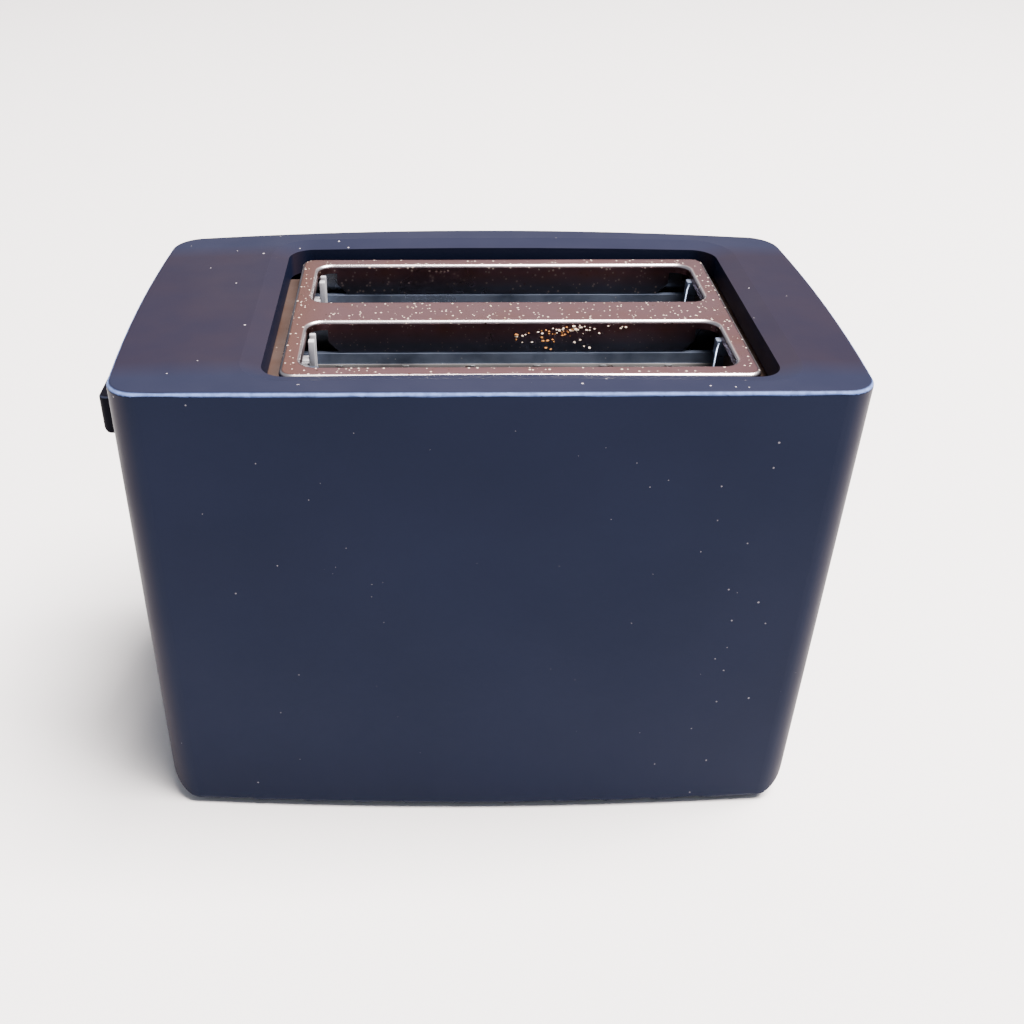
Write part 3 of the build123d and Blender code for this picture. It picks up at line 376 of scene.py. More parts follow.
@dataclass(frozen=True)
class HeatTintedSteel(Finish):
    """Pressed stainless steel that has been hot.

    It gives the eye a pink-brown heat film that is deeper at one end, a painted highlight on its bends,
    a painted bluish reflection low on its flaps, and pale dust.
    """

    film: str = "7A5042"
    dust: str = "D8C4B6"
    # Colour of the painted reflection low on the flaps.
    below: str = "565C6C"
    # Colour of the painted highlight on the bends.
    polished: str = "DAD6D8"
    left_x: float = 0.0
    top_z: float = 0.0
    fade_mm: float = 16.0
    baked: str = "5C4036"

    def paint(self, tree: bpy.types.NodeTree, shader: bpy.types.Node) -> None:
        """Add the heat film, a painted flap reflection, a painted bend highlight, dust, soot and a fine
        grain.

        Args:
            tree: The material's node tree.
            shader: Its principled shader.
        """
        place = add_node(tree, "ShaderNodeTexCoord").outputs["Object"]
        where = add_node(tree, "ShaderNodeSeparateXYZ", {"Vector": place})
        ends = (self.left_x, self.left_x + self.fade_mm * MM)
        film = between(tree, where.outputs["X"], ends, (0.9, 0.0))
        clouds = add_node(
            tree, "ShaderNodeTexNoise", {"Vector": place, "Scale": per_mm(11.0), "Detail": 5.0}
        )
        patch = between(tree, clouds.outputs["Fac"], (0.45, 0.8), (0.0, 0.55))
        amount = combine(tree, "MAXIMUM", film, patch)
        colour = blend_colours(tree, amount, linear(self.colour), linear(self.film))
        height = where.outputs["Z"]
        # Painted reflection: from 3.5 to 9.5 mm below the top the flaps turn darker and bluish grey, the
        # reflection seen low on them painted in.
        depth = between(tree, height, (self.top_z - 9.5 * MM, self.top_z - 3.5 * MM), (0.95, 0.0))
        colour = blend_colours(tree, depth, colour, linear(self.below))
        level = between(tree, height, (self.top_z - 3.0 * MM, self.top_z - 0.4 * MM), (0.25, 1.0))
        # Painted highlight: where the sheet bends between flat and upright, its colour turns pale, as the
        # bends catch the light.
        normal = add_node(tree, "ShaderNodeNewGeometry").outputs["Normal"]
        tilt = add_node(tree, "ShaderNodeSeparateXYZ", {"Vector": normal})
        bend = multiply(
            tree,
            between(tree, tilt.outputs["Z"], (0.15, 0.45), (0.0, 0.9)),
            between(tree, tilt.outputs["Z"], (0.85, 0.99), (1.0, 0.0)),
        )
        colour = blend_colours(tree, bend, colour, linear(self.polished))
        # The grains are about half a millimetre, coarser than real dust, so that they show from afar.
        grains = multiply(tree, specks(tree, place, 1.4, 0.30, 0.55), level)
        colour = blend_colours(tree, grains, colour, linear(self.dust))
        soot = multiply(tree, specks(tree, place, 2.7, 0.22, 0.30), level)
        colour = blend_colours(tree, soot, colour, linear(self.baked))
        tree.links.new(colour, shader.inputs["Base Color"])
        shine = between(tree, grains, (0.0, 1.0), (1.0, 0.2))
        tree.links.new(shine, shader.inputs["Metallic"])
        self.add_grain(tree, shader, place)
        self.vary_gloss(tree, shader, place, 0.05)


@dataclass(frozen=True)
class DustySheet(Finish):
    """Any surface of the oven part: sheet, wire, mica, ceramic or crust.

    It gives the eye clouds of baked soot and pale specks over the clean colour.
    """

    soot: str = "3B2C22"
    dust: str = "B7A79A"

    def paint(self, tree: bpy.types.NodeTree, shader: bpy.types.Node) -> None:
        """Add clouds of brown soot and pale specks.

        Args:
            tree: The material's node tree.
            shader: Its principled shader.
        """
        place = add_node(tree, "ShaderNodeTexCoord").outputs["Object"]
        clouds = add_node(
            tree, "ShaderNodeTexNoise", {"Vector": place, "Scale": per_mm(14.0), "Detail": 6.0}
        )
        share = between(tree, clouds.outputs["Fac"], (0.4, 0.75), (0.0, 0.85))
        colour = blend_colours(tree, share, linear(self.colour), linear(self.soot))
        colour = blend_colours(tree, specks(tree, place, 2.2, 0.2, 0.25), colour, linear(self.dust))
        tree.links.new(colour, shader.inputs["Base Color"])
        self.add_grain(tree, shader, place)
        self.vary_gloss(tree, shader, place, 0.1)


@dataclass(frozen=True)
class LayeredFinish(Finish):
    """Core laminations or the turns of a winding.

    It gives the eye fine parallel lines with a shallow groove between them.
    """

    dark: str = "30302F"
    pitch_mm: float = 0.6
    across: str = "Z"

    def paint(self, tree: bpy.types.NodeTree, shader: bpy.types.Node) -> None:
        """Draw a line for each layer.

        Args:
            tree: The material's node tree.
            shader: Its principled shader.
        """
        place = add_node(tree, "ShaderNodeTexCoord").outputs["Object"]
        bands = add_node(
            tree,
            "ShaderNodeTexWave",
            {"Vector": place, "Scale": per_mm(self.pitch_mm) / WAVE_BANDS, "Distortion": 0.2},
            bands_direction=self.across,
        )
        colour = blend_colours(tree, bands.outputs["Fac"], linear(self.dark), linear(self.colour))
        tree.links.new(colour, shader.inputs["Base Color"])
        bump = add_node(
            tree,
            "ShaderNodeBump",
            {"Height": bands.outputs["Fac"], "Strength": 0.5, "Distance": self.pitch_mm * 0.3 * MM},
        )
        tree.links.new(bump.outputs["Normal"], shader.inputs["Normal"])


# The moulded outside: navy body, near-black lever and knobs, black nylon inside, rubber feet.
# Both shells carry painted light: a painted reflection on the top and at the corners and a painted highlight
# on the upper edges, kept faint on the lever.
SHELL_ABS = MouldedShell("navy_moulded_abs", "0D1325", 0.42, 0.0, 0.45, 0.22)
LEVER_ABS = MouldedShell(
    "near_black_moulded_abs",
    "09090F",
    0.45,
    0.0,
    0.45,
    0.15,
    tint="0C0C14",
    film="131219",
    strip_sheen="131219",
    edge_highlight="2C303E",
    gleam=0.015,
    dusty=0.4,
)
BLACK_NYLON = Finish("black_moulded_nylon", "121214", 0.55, 0.0, 0.6, 0.3)
# The oven part: browned chassis, bluish channels, bright reflectors and wire, grey mica, pale ceramic.
CHASSIS_STEEL = DustySheet(
    "dusty_aluminised_steel", "64534C", 0.42, 0.7, 0.8, 0.25, soot="4A3226", dust="B79F92"
)
CHANNEL_STEEL = DustySheet(
    "blued_steel_channel", "93A2BC", 0.36, 0.8, 0.8, 0.2, soot="4A5568", dust="B4BAC6"
)
REFLECTOR_STEEL = DustySheet("bright_reflector_steel", "8E929A", 0.30, 0.95, 0.8, 0.2, soot="33302F")
WIRE_STEEL = DustySheet("drawn_steel_wire", "82838A", 0.33, 0.95, 0.6, 0.2)
MICA_SHEET = DustySheet("pressed_mica", "7C7B7A", 0.55, 0.0, 1.4, 0.5, soot="4A494B", dust="C8C6C2")
STEATITE = DustySheet("fired_steatite", "B9BBC0", 0.5, 0.0, 0.8, 0.3, soot="6E7077", dust="E2E2E2")
NICHROME = Finish("oxidised_nichrome", "4A4441", 0.5, 0.8, 0.5, 0.3)
RUBBER = Finish("moulded_rubber", "0C0C0E", 0.8, 0.0, 0.7, 0.5)
# The works: green board, layered core and winding, ground rods, springs and plated screws.
LAMINATE = Finish("glass_epoxy_laminate", "1F5A38", 0.35, 0.0, 1.0, 0.2)
CORE_IRON = LayeredFinish(
    "laminated_iron", "6E6E70", 0.45, 0.8, dark="333335", pitch_mm=0.6, across="X"
)
COIL_WIRE = LayeredFinish(
    "enamelled_copper_wire", "A8592B", 0.32, 0.7, dark="4A2412", pitch_mm=0.45, across="Z"
)
GROUND_STEEL = Finish("ground_steel_rod", "B4B4B8", 0.2, 1.0, 0.3, 0.1)
SPRING_STEEL = Finish("spring_steel", "77777C", 0.3, 1.0, 0.3, 0.1)
ZINC_PLATE = Finish("zinc_plated_steel", "A9ABA8", 0.3, 1.0, 0.4, 0.2)
# Marks, crumbs and board components.
PAD_PRINT = Finish("pad_printed_ink", "C9CBD2", 0.6, 0.0, 0.5, 0.2)
RECESS_SHADE = Finish("shaded_recess", "2A2A2C", 0.6, 0.4, 0.5, 0.2)
TOAST = DustySheet("toasted_crumb", "C98A45", 0.85, 0.0, 0.35, 0.9, soot="7A4318", dust="F2E6CE")
PALE_CRUMB = DustySheet("dry_white_crumb", "E9DFCB", 0.9, 0.0, 0.35, 0.9, soot="CFA878", dust="FFFFFF")
EPOXY_CASE = Finish("moulded_epoxy_case", "1A1A1C", 0.5, 0.0, 0.5, 0.2)
FILM_CASE = Finish("dipped_film_capacitor", "7A2E1E", 0.35, 0.0, 0.5, 0.2)
SOLDER = Finish("tin_solder", "B8B8B4", 0.28, 1.0, 0.4, 0.3)
PALE_CARD = Finish("pale_matt_card", "FBFBFB", 0.9, 0.0, 2.0, 0.05)


def dress(nodes: dict[str, bpy.types.Object], names: list[str], finish: Finish) -> None:
    """Give CAD nodes their finish.

    Args:
        nodes: The frame's nodes, by name.
        names: Which of them to dress.
        finish: What they are made of.
    """
    for name in names:
        for slot in nodes[name].material_slots:
            slot.link = "OBJECT"
            slot.material = finish.material()
        LOG.info("%s dressed in %s", name, finish.name)


# ---- Modelling ----

Point = tuple[float, float, float]


def add_block(name: str, low: Point, high: Point, bevel: float, segments: int = 2) -> bpy.types.Object:
    """Model a block with rounded edges.

    Args:
        name: The piece's name.
        low: Its lowest corner, in millimetres.
        high: Its highest corner.
        bevel: How far its edges are rounded, in millimetres.
        segments: Faces across each rounded edge.

    Returns:
        The finished block, with its place in its mesh.
    """
    centre = [(a + b) / 2 * MM for a, b in zip(low, high)]
    size = [(b - a) * MM for a, b in zip(low, high)]
    bpy.ops.object.select_all(action="DESELECT")
    bpy.ops.mesh.primitive_cube_add(size=1, location=centre, scale=size)
    return finish_piece(name, bevel, segments)


def add_disc(
    name: str, centre: Point, radius: float, depth: float, axis: str, bevel: float
) -> bpy.types.Object:
    """Model a round disc or pin with rounded rims.

    Args:
        name: The piece's name.
        centre: Its middle, in millimetres.
        radius: Its radius.
        depth: Its length along its axis.
        axis: X, Y or Z.
        bevel: How far its rims are rounded.

    Returns:
        The finished disc.
    """
    turn = {"X": (0, math.pi / 2, 0), "Y": (math.pi / 2, 0, 0), "Z": (0, 0, 0)}[axis]
    bpy.ops.object.select_all(action="DESELECT")
    bpy.ops.mesh.primitive_cylinder_add(
        vertices=32, radius=radius * MM, depth=depth * MM, location=[c * MM for c in centre], rotation=turn
    )
    return finish_piece(name, bevel, 2, limit=True)


def finish_piece(name: str, bevel: float, segments: int, limit: bool = False) -> bpy.types.Object:
    """Round the edges of the active piece, put its place in its mesh and smooth it.

    Args:
        name: The piece's name.
        bevel: How far its edges are rounded, in millimetres.
        segments: Faces across each rounded edge.
        limit: Whether only sharp edges are rounded.

    Returns:
        The piece.
    """
    piece = bpy.context.object
    piece.name = name
    bpy.ops.object.transform_apply(location=True, rotation=True, scale=True)
    rounding = piece.modifiers.new("rounding", "BEVEL")
    rounding.width = bevel * MM
    rounding.segments = segments
    rounding.limit_method = "ANGLE" if limit else "NONE"
    bpy.ops.object.modifier_apply(modifier=rounding.name)
    bpy.ops.object.mode_set(mode="EDIT")
    bpy.ops.mesh.select_all(action="SELECT")
    bpy.ops.mesh.normals_make_consistent(inside=False)
    bpy.ops.object.mode_set(mode="OBJECT")
    bpy.ops.object.shade_smooth_by_angle(angle=math.radians(40))
    return piece


def add_wire(name: str, points: list[Point], radius: float) -> bpy.types.Object:
    """Model a bent wire.

    Args:
        name: The piece's name.
        points: Its corners, in millimetres.
        radius: The wire's radius.

    Returns:
        The finished wire as a mesh.
    """
    bpy.ops.object.select_all(action="DESELECT")
    bpy.ops.curve.primitive_bezier_curve_add(location=(0, 0, 0))
    piece = bpy.context.object
    piece.name = name
    piece.data.splines.clear()
    spline = piece.data.splines.new("POLY")
    spline.points.add(len(points) - 1)
    for spot, point in zip(spline.points, points):
        spot.co = (*[c * MM for c in point], 1.0)
    piece.data.bevel_depth = radius * MM
    piece.data.bevel_resolution = 3
    piece.data.use_fill_caps = True
    piece.select_set(True)
    bpy.ops.object.convert(target="MESH")
    return bpy.context.object


def add_loop(name: str, centre: Point, radius: float, wire: float, turn: Point) -> bpy.types.Object:
    """Model a closed loop of wire.

    Args:
        name: The piece's name.
        centre: Its middle, in millimetres.
        radius: Radius to the middle of the wire.
        wire: The wire's radius.
        turn: How it is turned about X, Y and Z, in radians.

    Returns:
        The finished loop.
    """
    bpy.ops.object.select_all(action="DESELECT")
    bpy.ops.mesh.primitive_torus_add(
        location=[c * MM for c in centre],
        rotation=turn,
        major_radius=radius * MM,
        minor_radius=wire * MM,
        major_segments=32,
        minor_segments=10,
    )
    piece = bpy.context.object
    piece.name = name
    bpy.ops.object.transform_apply(location=True, rotation=True, scale=True)
    bpy.ops.object.shade_smooth_by_angle(angle=math.radians(60))
    return piece


def copy_piece(piece: bpy.types.Object, name: str, move: Matrix) -> bpy.types.Object:
    """Copy a piece with its own mesh.

    Args:
        piece: What is copied.
        name: The copy's name.
        move: How the copy's mesh is moved, in metres.

    Returns:
        The copy.
    """
    twin = piece.copy()
    twin.data = piece.data.copy()
    twin.name = name
    twin.data.transform(move)
    bpy.context.scene.collection.objects.link(twin)
    return twin


def join_pieces(pieces: list[bpy.types.Object], name: str) -> bpy.types.Object:
    """Join several pieces into one.

    Args:
        pieces: What is joined.
        name: The joined piece's name.

    Returns:
        The joined piece.
    """
    bpy.ops.object.select_all(action="DESELECT")
    for piece in pieces:
        piece.select_set(True)
    bpy.context.view_layer.objects.active = pieces[0]
    bpy.ops.object.join()
    bpy.context.object.name = name
    return bpy.context.object


def place_piece(piece: bpy.types.Object, finish: Finish, body: str) -> None:
    """Dress a finished piece and let it ride on its body.

    Args:
        piece: The piece.
        finish: What it is made of.
        body: The CAD body that carries it.
    """
    piece.data.materials.clear()
    piece.data.materials.append(finish.material())
    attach(piece, body)
    LOG.info("%s rides on %s", piece.name, body)


def corners_mm(node: str) -> tuple[Point, Point]:
    """Lowest and highest corner of a CAD node, in millimetres."""
    low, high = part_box(node)
    return tuple(c / MM for c in low), tuple(c / MM for c in high)


# ---- Stage ----


@dataclass
class Studio:
    """Pale floor, soft light and the camera."""

    target: Vector
    floor_size: float = 12.0
    room_colour: str = "EEF2FF"
    room_strength: float = 0.36
    lens: float = 40.5
    shift: tuple[float, float] = (0.0796, 0.0577)
    camera_place: tuple[float, float, float] = (-0.0134, -0.3964, 0.3448)
    look_down: float = 35.35  # degrees below level
    look_right: float = 0.37  # degrees

    def build(self) -> None:
        """Lay the floor, hang the lamps and set the camera."""
        self.lay_floor()
        self.light()
        self.set_camera()

    def lay_floor(self) -> None:
        """Add the floor."""
        bpy.ops.object.select_all(action="DESELECT")
        bpy.ops.mesh.primitive_plane_add(size=self.floor_size, location=(0, 0, 0))
        floor = bpy.context.object
        floor.name = "studio_floor"
        floor.data.materials.append(PALE_CARD.material())

    def light(self) -> None:
        """Hang two soft lamps in an even pale room."""
        world = bpy.data.worlds.new("pale_room")
        world.use_nodes = True
        background = world.node_tree.nodes["Background"]
        background.inputs["Color"].default_value = linear(self.room_colour)
        background.inputs["Strength"].default_value = self.room_strength
        bpy.context.scene.world = world
        self.hang("overhead_softbox", (1.3, -0.2, 3.8), 2.2, 960.0, "FFF6F2")
        self.hang("rear_card", (0.1, 2.4, 1.9), 1.8, 16.0, "FFF0E8")

    def hang(
        self, name: str, place: tuple[float, float, float], size: float, power: float, colour: str
    ) -> None:
        """Hang one square lamp that faces the object.

        Args:
            name: The lamp's name.
            place: Where it hangs.
            size: Its side, in metres.
            power: Its power, in watts.
            colour: Its colour, as six hex digits.
        """
        data = bpy.data.lights.new(name, "AREA")
        data.size = size
        data.energy = power
        data.color = linear(colour)[:3]
        lamp = bpy.data.objects.new(name, data)
        bpy.context.scene.collection.objects.link(lamp)
        lamp.location = place
        lamp.rotation_euler = (self.target - Vector(place)).to_track_quat("-Z", "Y").to_euler()

    def set_camera(self) -> None:
        """Look down on the front from a little above."""
        data = bpy.data.cameras.new("camera")
        data.sensor_width = 36.0
        data.lens = self.lens
        data.shift_x, data.shift_y = self.shift
        data.clip_start = 0.01
        camera = bpy.data.objects.new("camera", data)
        bpy.context.scene.collection.objects.link(camera)
        camera.location = self.camera_place
        camera.rotation_euler = (math.radians(90 - self.look_down), 0.0, math.radians(-self.look_right))
        bpy.context.scene.camera = camera


# ---- Sub-assemblies ----


class Slot(Enum):
    """The two bread slots, by the sign of their Y."""

    FRONT = -1
    REAR = 1


@dataclass
class WellFittings:
    """Small fittings just under the top plate, in each slot."""

    tab_pitch: float = 24.0
    tab_count: int = 6
    made: list[str] = field(default_factory=list)

    def build(self) -> None:
        """Build the fittings of both slots."""
        for slot in Slot:
            self.build_strips(slot)
            self.build_spacers(slot)
            self.build_feeler(slot)
        LOG.info("well fittings: %s", ", ".join(self.made))

    def heater_faces(self, slot: Slot) -> list[tuple[float, int]]:
        """Find the inner faces of one slot's upper channels.

        Args:
            slot: Which slot.

        Returns:
            Y of each face, with the sign of the way it faces.
        """
        faces = []
        for edge in ("inner", "outer"):
            low, high = corners_mm(f"heater_card_{slot.name.lower()}_{edge}")
            away = slot.value if edge == "inner" else -slot.value
            faces.append(((low[1] + high[1]) / 2 + away * 1.2, away))
        return faces

    def build_strips(self, slot: Slot) -> None:
        """Build the mica strip with its tabs and loops below each upper channel.

        Args:
            slot: Which slot.
        """
        low, high = corners_mm("upper_channels")
        base = low[2]
        for face, away in self.heater_faces(slot):
            word = f"{slot.name.lower()}_{'a' if away > 0 else 'b'}"
            near, far = sorted((face + away * 0.05, face + away * 0.5))
            start, stop = (low[0] + 3, near, base - 1.2), (high[0] - 3, far, base + 1.6)
            strip = add_block(f"mica_strip_{word}", start, stop, 0.15)
            place_piece(strip, MICA_SHEET, "body")
            self.made.append(strip.name)
            near, far = sorted((face + away * 0.1, face + away * 1.0))
            tab = add_block("tab", (low[0] + 14, near, base - 0.8), (low[0] + 16.6, far, base + 1.3), 0.2)
            tabs = [tab]
            for step in range(1, self.tab_count):
                move = Matrix.Translation((step * self.tab_pitch * MM, 0, 0))
                tabs.append(copy_piece(tab, f"tab_{step}", move))
            tabs = join_pieces(tabs, f"clamp_tabs_{word}")
            place_piece(tabs, ZINC_PLATE, "body")
            centre = (low[0] + 62, face + away * 0.7, base)
            ring = add_loop("ring", centre, 1.1, 0.22, (math.pi / 2, 0, 0.3))
            rings = [ring, copy_piece(ring, "ring_2", Matrix.Translation((52 * MM, 0, 0)))]
            rings = join_pieces(rings, f"ribbon_loops_{word}")
            place_piece(rings, NICHROME, "body")

    def build_spacers(self, slot: Slot) -> None:
        """Build the pale spacers and the bracket at the left end.

        Args:
            slot: Which slot.
        """
        low, _ = corners_mm("upper_channels")
        top = corners_mm("top_plate")[1][2] - 2.6
        middle = self.middle(slot)
        for number, reach in enumerate((8.0, 13.5)):
            y, width = middle + reach, 1.5 - 0.5 * number
            start, stop = (low[0] + 5.4, y - width, low[2] - 3.0), (low[0] + 7.6, y + width, top)
            bar = add_block("bar", start, stop, 0.4)
            start, stop = (low[0] + 0.4, y - 2.4, low[2]), (low[0] + 5.8, y + 2.4, low[2] + 6.0)
            slip = add_block("slip", start, stop, 0.3)
            bars = join_pieces([bar, slip], f"end_spacer_{slot.name.lower()}_{number}")
            place_piece(bars, STEATITE, "body")
        start, stop = (low[0] + 0.2, middle - 5.0, top - 9.0), (low[0] + 1.2, middle + 5.0, top - 4.0)
        web = add_block("web", start, stop, 0.3)
        start, stop = (low[0] + 0.6, middle - 4.0, top - 9.0), (low[0] + 9.0, middle + 4.0, top - 8.0)
        shelf = add_block("shelf", start, stop, 0.3)
        bracket = join_pieces([web, shelf], f"end_bracket_{slot.name.lower()}")
        place_piece(bracket, CHANNEL_STEEL, "body")

    def middle(self, slot: Slot) -> float:
        """Y of the middle of a slot."""
        inner, outer = (face for face, _ in self.heater_faces(slot))
        return (inner + outer) / 2

    def build_feeler(self, slot: Slot) -> None:
        """Build the slanted wire and its clip at the right end.

        Args:
            slot: Which slot.
        """
        _, high = corners_mm("upper_channels")
        top = corners_mm("top_plate")[1][2] - 3.0
        y, end = self.middle(slot), high[0] - 5.0
        points = [
            (end, y + 9, top - 1),
            (end - 2, y + 4, top - 2),
            (end - 4, y - 2, top - 10),
            (end - 4, y - 4, top - 14),
        ]
        wire = add_wire("wire", points, 0.4)
        clip = add_block("clip", (end - 1.5, y + 7.5, top - 6), (high[0] - 0.6, y + 11, top), 0.6)
        feeler = join_pieces([wire, clip], f"end_feeler_{slot.name.lower()}")
        place_piece(feeler, CHANNEL_STEEL, "body")


@dataclass
class ControlMarks:
    """Grips, marks and symbols at the lever end."""

    ticks: int = 7
    sweep: float = 240.0
    ribs: int = 36
    wall_x: float = field(init=False, default=0.0)

    def build(self) -> None:
        """Build the dial's marks, the knob's ribs and the symbols on the buttons."""
        knob_low, knob_high = corners_mm("browning_knob")
        self.wall_x = corners_mm("housing")[0][0]
        centre = Vector((knob_high[0], (knob_low[1] + knob_high[1]) / 2, (knob_low[2] + knob_high[2]) / 2))
        radius = (knob_high[1] - knob_low[1]) / 2
        self.build_ticks(centre, radius)
        self.build_ribs(centre, radius)
        for number, name in enumerate(("cancel_button", "reheat_button", "defrost_button")):
            self.build_symbol(name, number)
            self.build_rim(name)

    def turned(self, piece: bpy.types.Object, name: str, centre: Vector, angle: float) -> bpy.types.Object:
        """Copy a piece turned about the X axis through a point.

        Args:
            piece: What is copied.
            name: The copy's name.
            centre: A point on the axis, in millimetres.
            angle: The turn, in degrees.

        Returns:
            The copy.
        """
        shift = Matrix.Translation(centre * MM)
        turn = Matrix.Rotation(math.radians(angle), 4, "X")
        return copy_piece(piece, name, shift @ turn @ shift.inverted())

    def build_ticks(self, centre: Vector, radius: float) -> None:
        """Build the raised marks around the dial, each a little longer than the last.

        Args:
            centre: Middle of the dial, in millimetres.
            radius: The knob's radius.
        """
        marks = []
        for number in range(self.ticks):
            z = centre.z + radius + 1.6
            length = 1.4 + 0.35 * number
            start = (self.wall_x - 0.25, centre.y - 0.5, z)
            stop = (self.wall_x + 0.6, centre.y + 0.5, z + length)
            mark = add_block(f"mark_{number}", start, stop, 0.12)
            angle = -self.sweep / 2 + self.sweep * number / (self.ticks - 1)
            marks.append(self.turned(mark, f"dial_mark_{number}", centre, angle))
            bpy.data.objects.remove(mark)
        place_piece(join_pieces(marks, "dial_marks"), PAD_PRINT, "body")

    def build_ribs(self, centre: Vector, radius: float) -> None:
        """Build the grip ribs around the knob.

        Args:
            centre: Middle of the dial, in millimetres.
            radius: The knob's radius.
        """
        low, high = corners_mm("browning_knob")
        z = centre.z + radius - 2.9
        start, stop = (low[0] + 1.2, centre.y - 0.4, z), (high[0] - 3.4, centre.y + 0.4, z + 0.9)
        rib = add_block("rib", start, stop, 0.2)
        ribs = [rib]
        for number in range(1, self.ribs):
            ribs.append(self.turned(rib, f"rib_{number}", centre, 360 * number / self.ribs))
        place_piece(join_pieces(ribs, "knob_ribs"), LEVER_ABS, "browning_dial")

    def build_symbol(self, name: str, number: int) -> None:
        """Build a raised symbol on a button: a cross, two bars or a six-armed star.

        Args:
            name: The button's node and body.
            number: Which symbol it carries.
        """
        low, high = corners_mm(name)
        centre = Vector((low[0], (low[1] + high[1]) / 2, (low[2] + high[2]) / 2))
        start = (low[0] - 0.12, centre.y - 0.3, centre.z - 2.2)
        stop = (low[0] + 0.3, centre.y + 0.3, centre.z + 2.2)
        bar = add_block("bar", start, stop, 0.08)
        if number == 1:
            steps = (-1.1, 0.0, 1.1)
            bars = [copy_piece(bar, f"bar_{y}", Matrix.Translation((0, y * MM, 0))) for y in steps]
        else:
            turns = (45, -45) if number == 0 else (0, 60, 120)
            bars = [self.turned(bar, f"bar_{turn}", centre, turn) for turn in turns]
        bpy.data.objects.remove(bar)
        place_piece(join_pieces(bars, f"{name}_symbol"), PAD_PRINT, name)

    def build_rim(self, name: str) -> None:
        """Build the moulded rim around a button's hole.

        Args:
            name: The button's node.
        """
        low, high = corners_mm(name)
        y, z = (low[1] + high[1]) / 2, (low[2] + high[2]) / 2
        rim = add_loop(f"{name}_rim", (self.wall_x + 0.55, y, z), 6.1, 0.45, (0, math.pi / 2, 0))
        place_piece(rim, SHELL_ABS, "body")


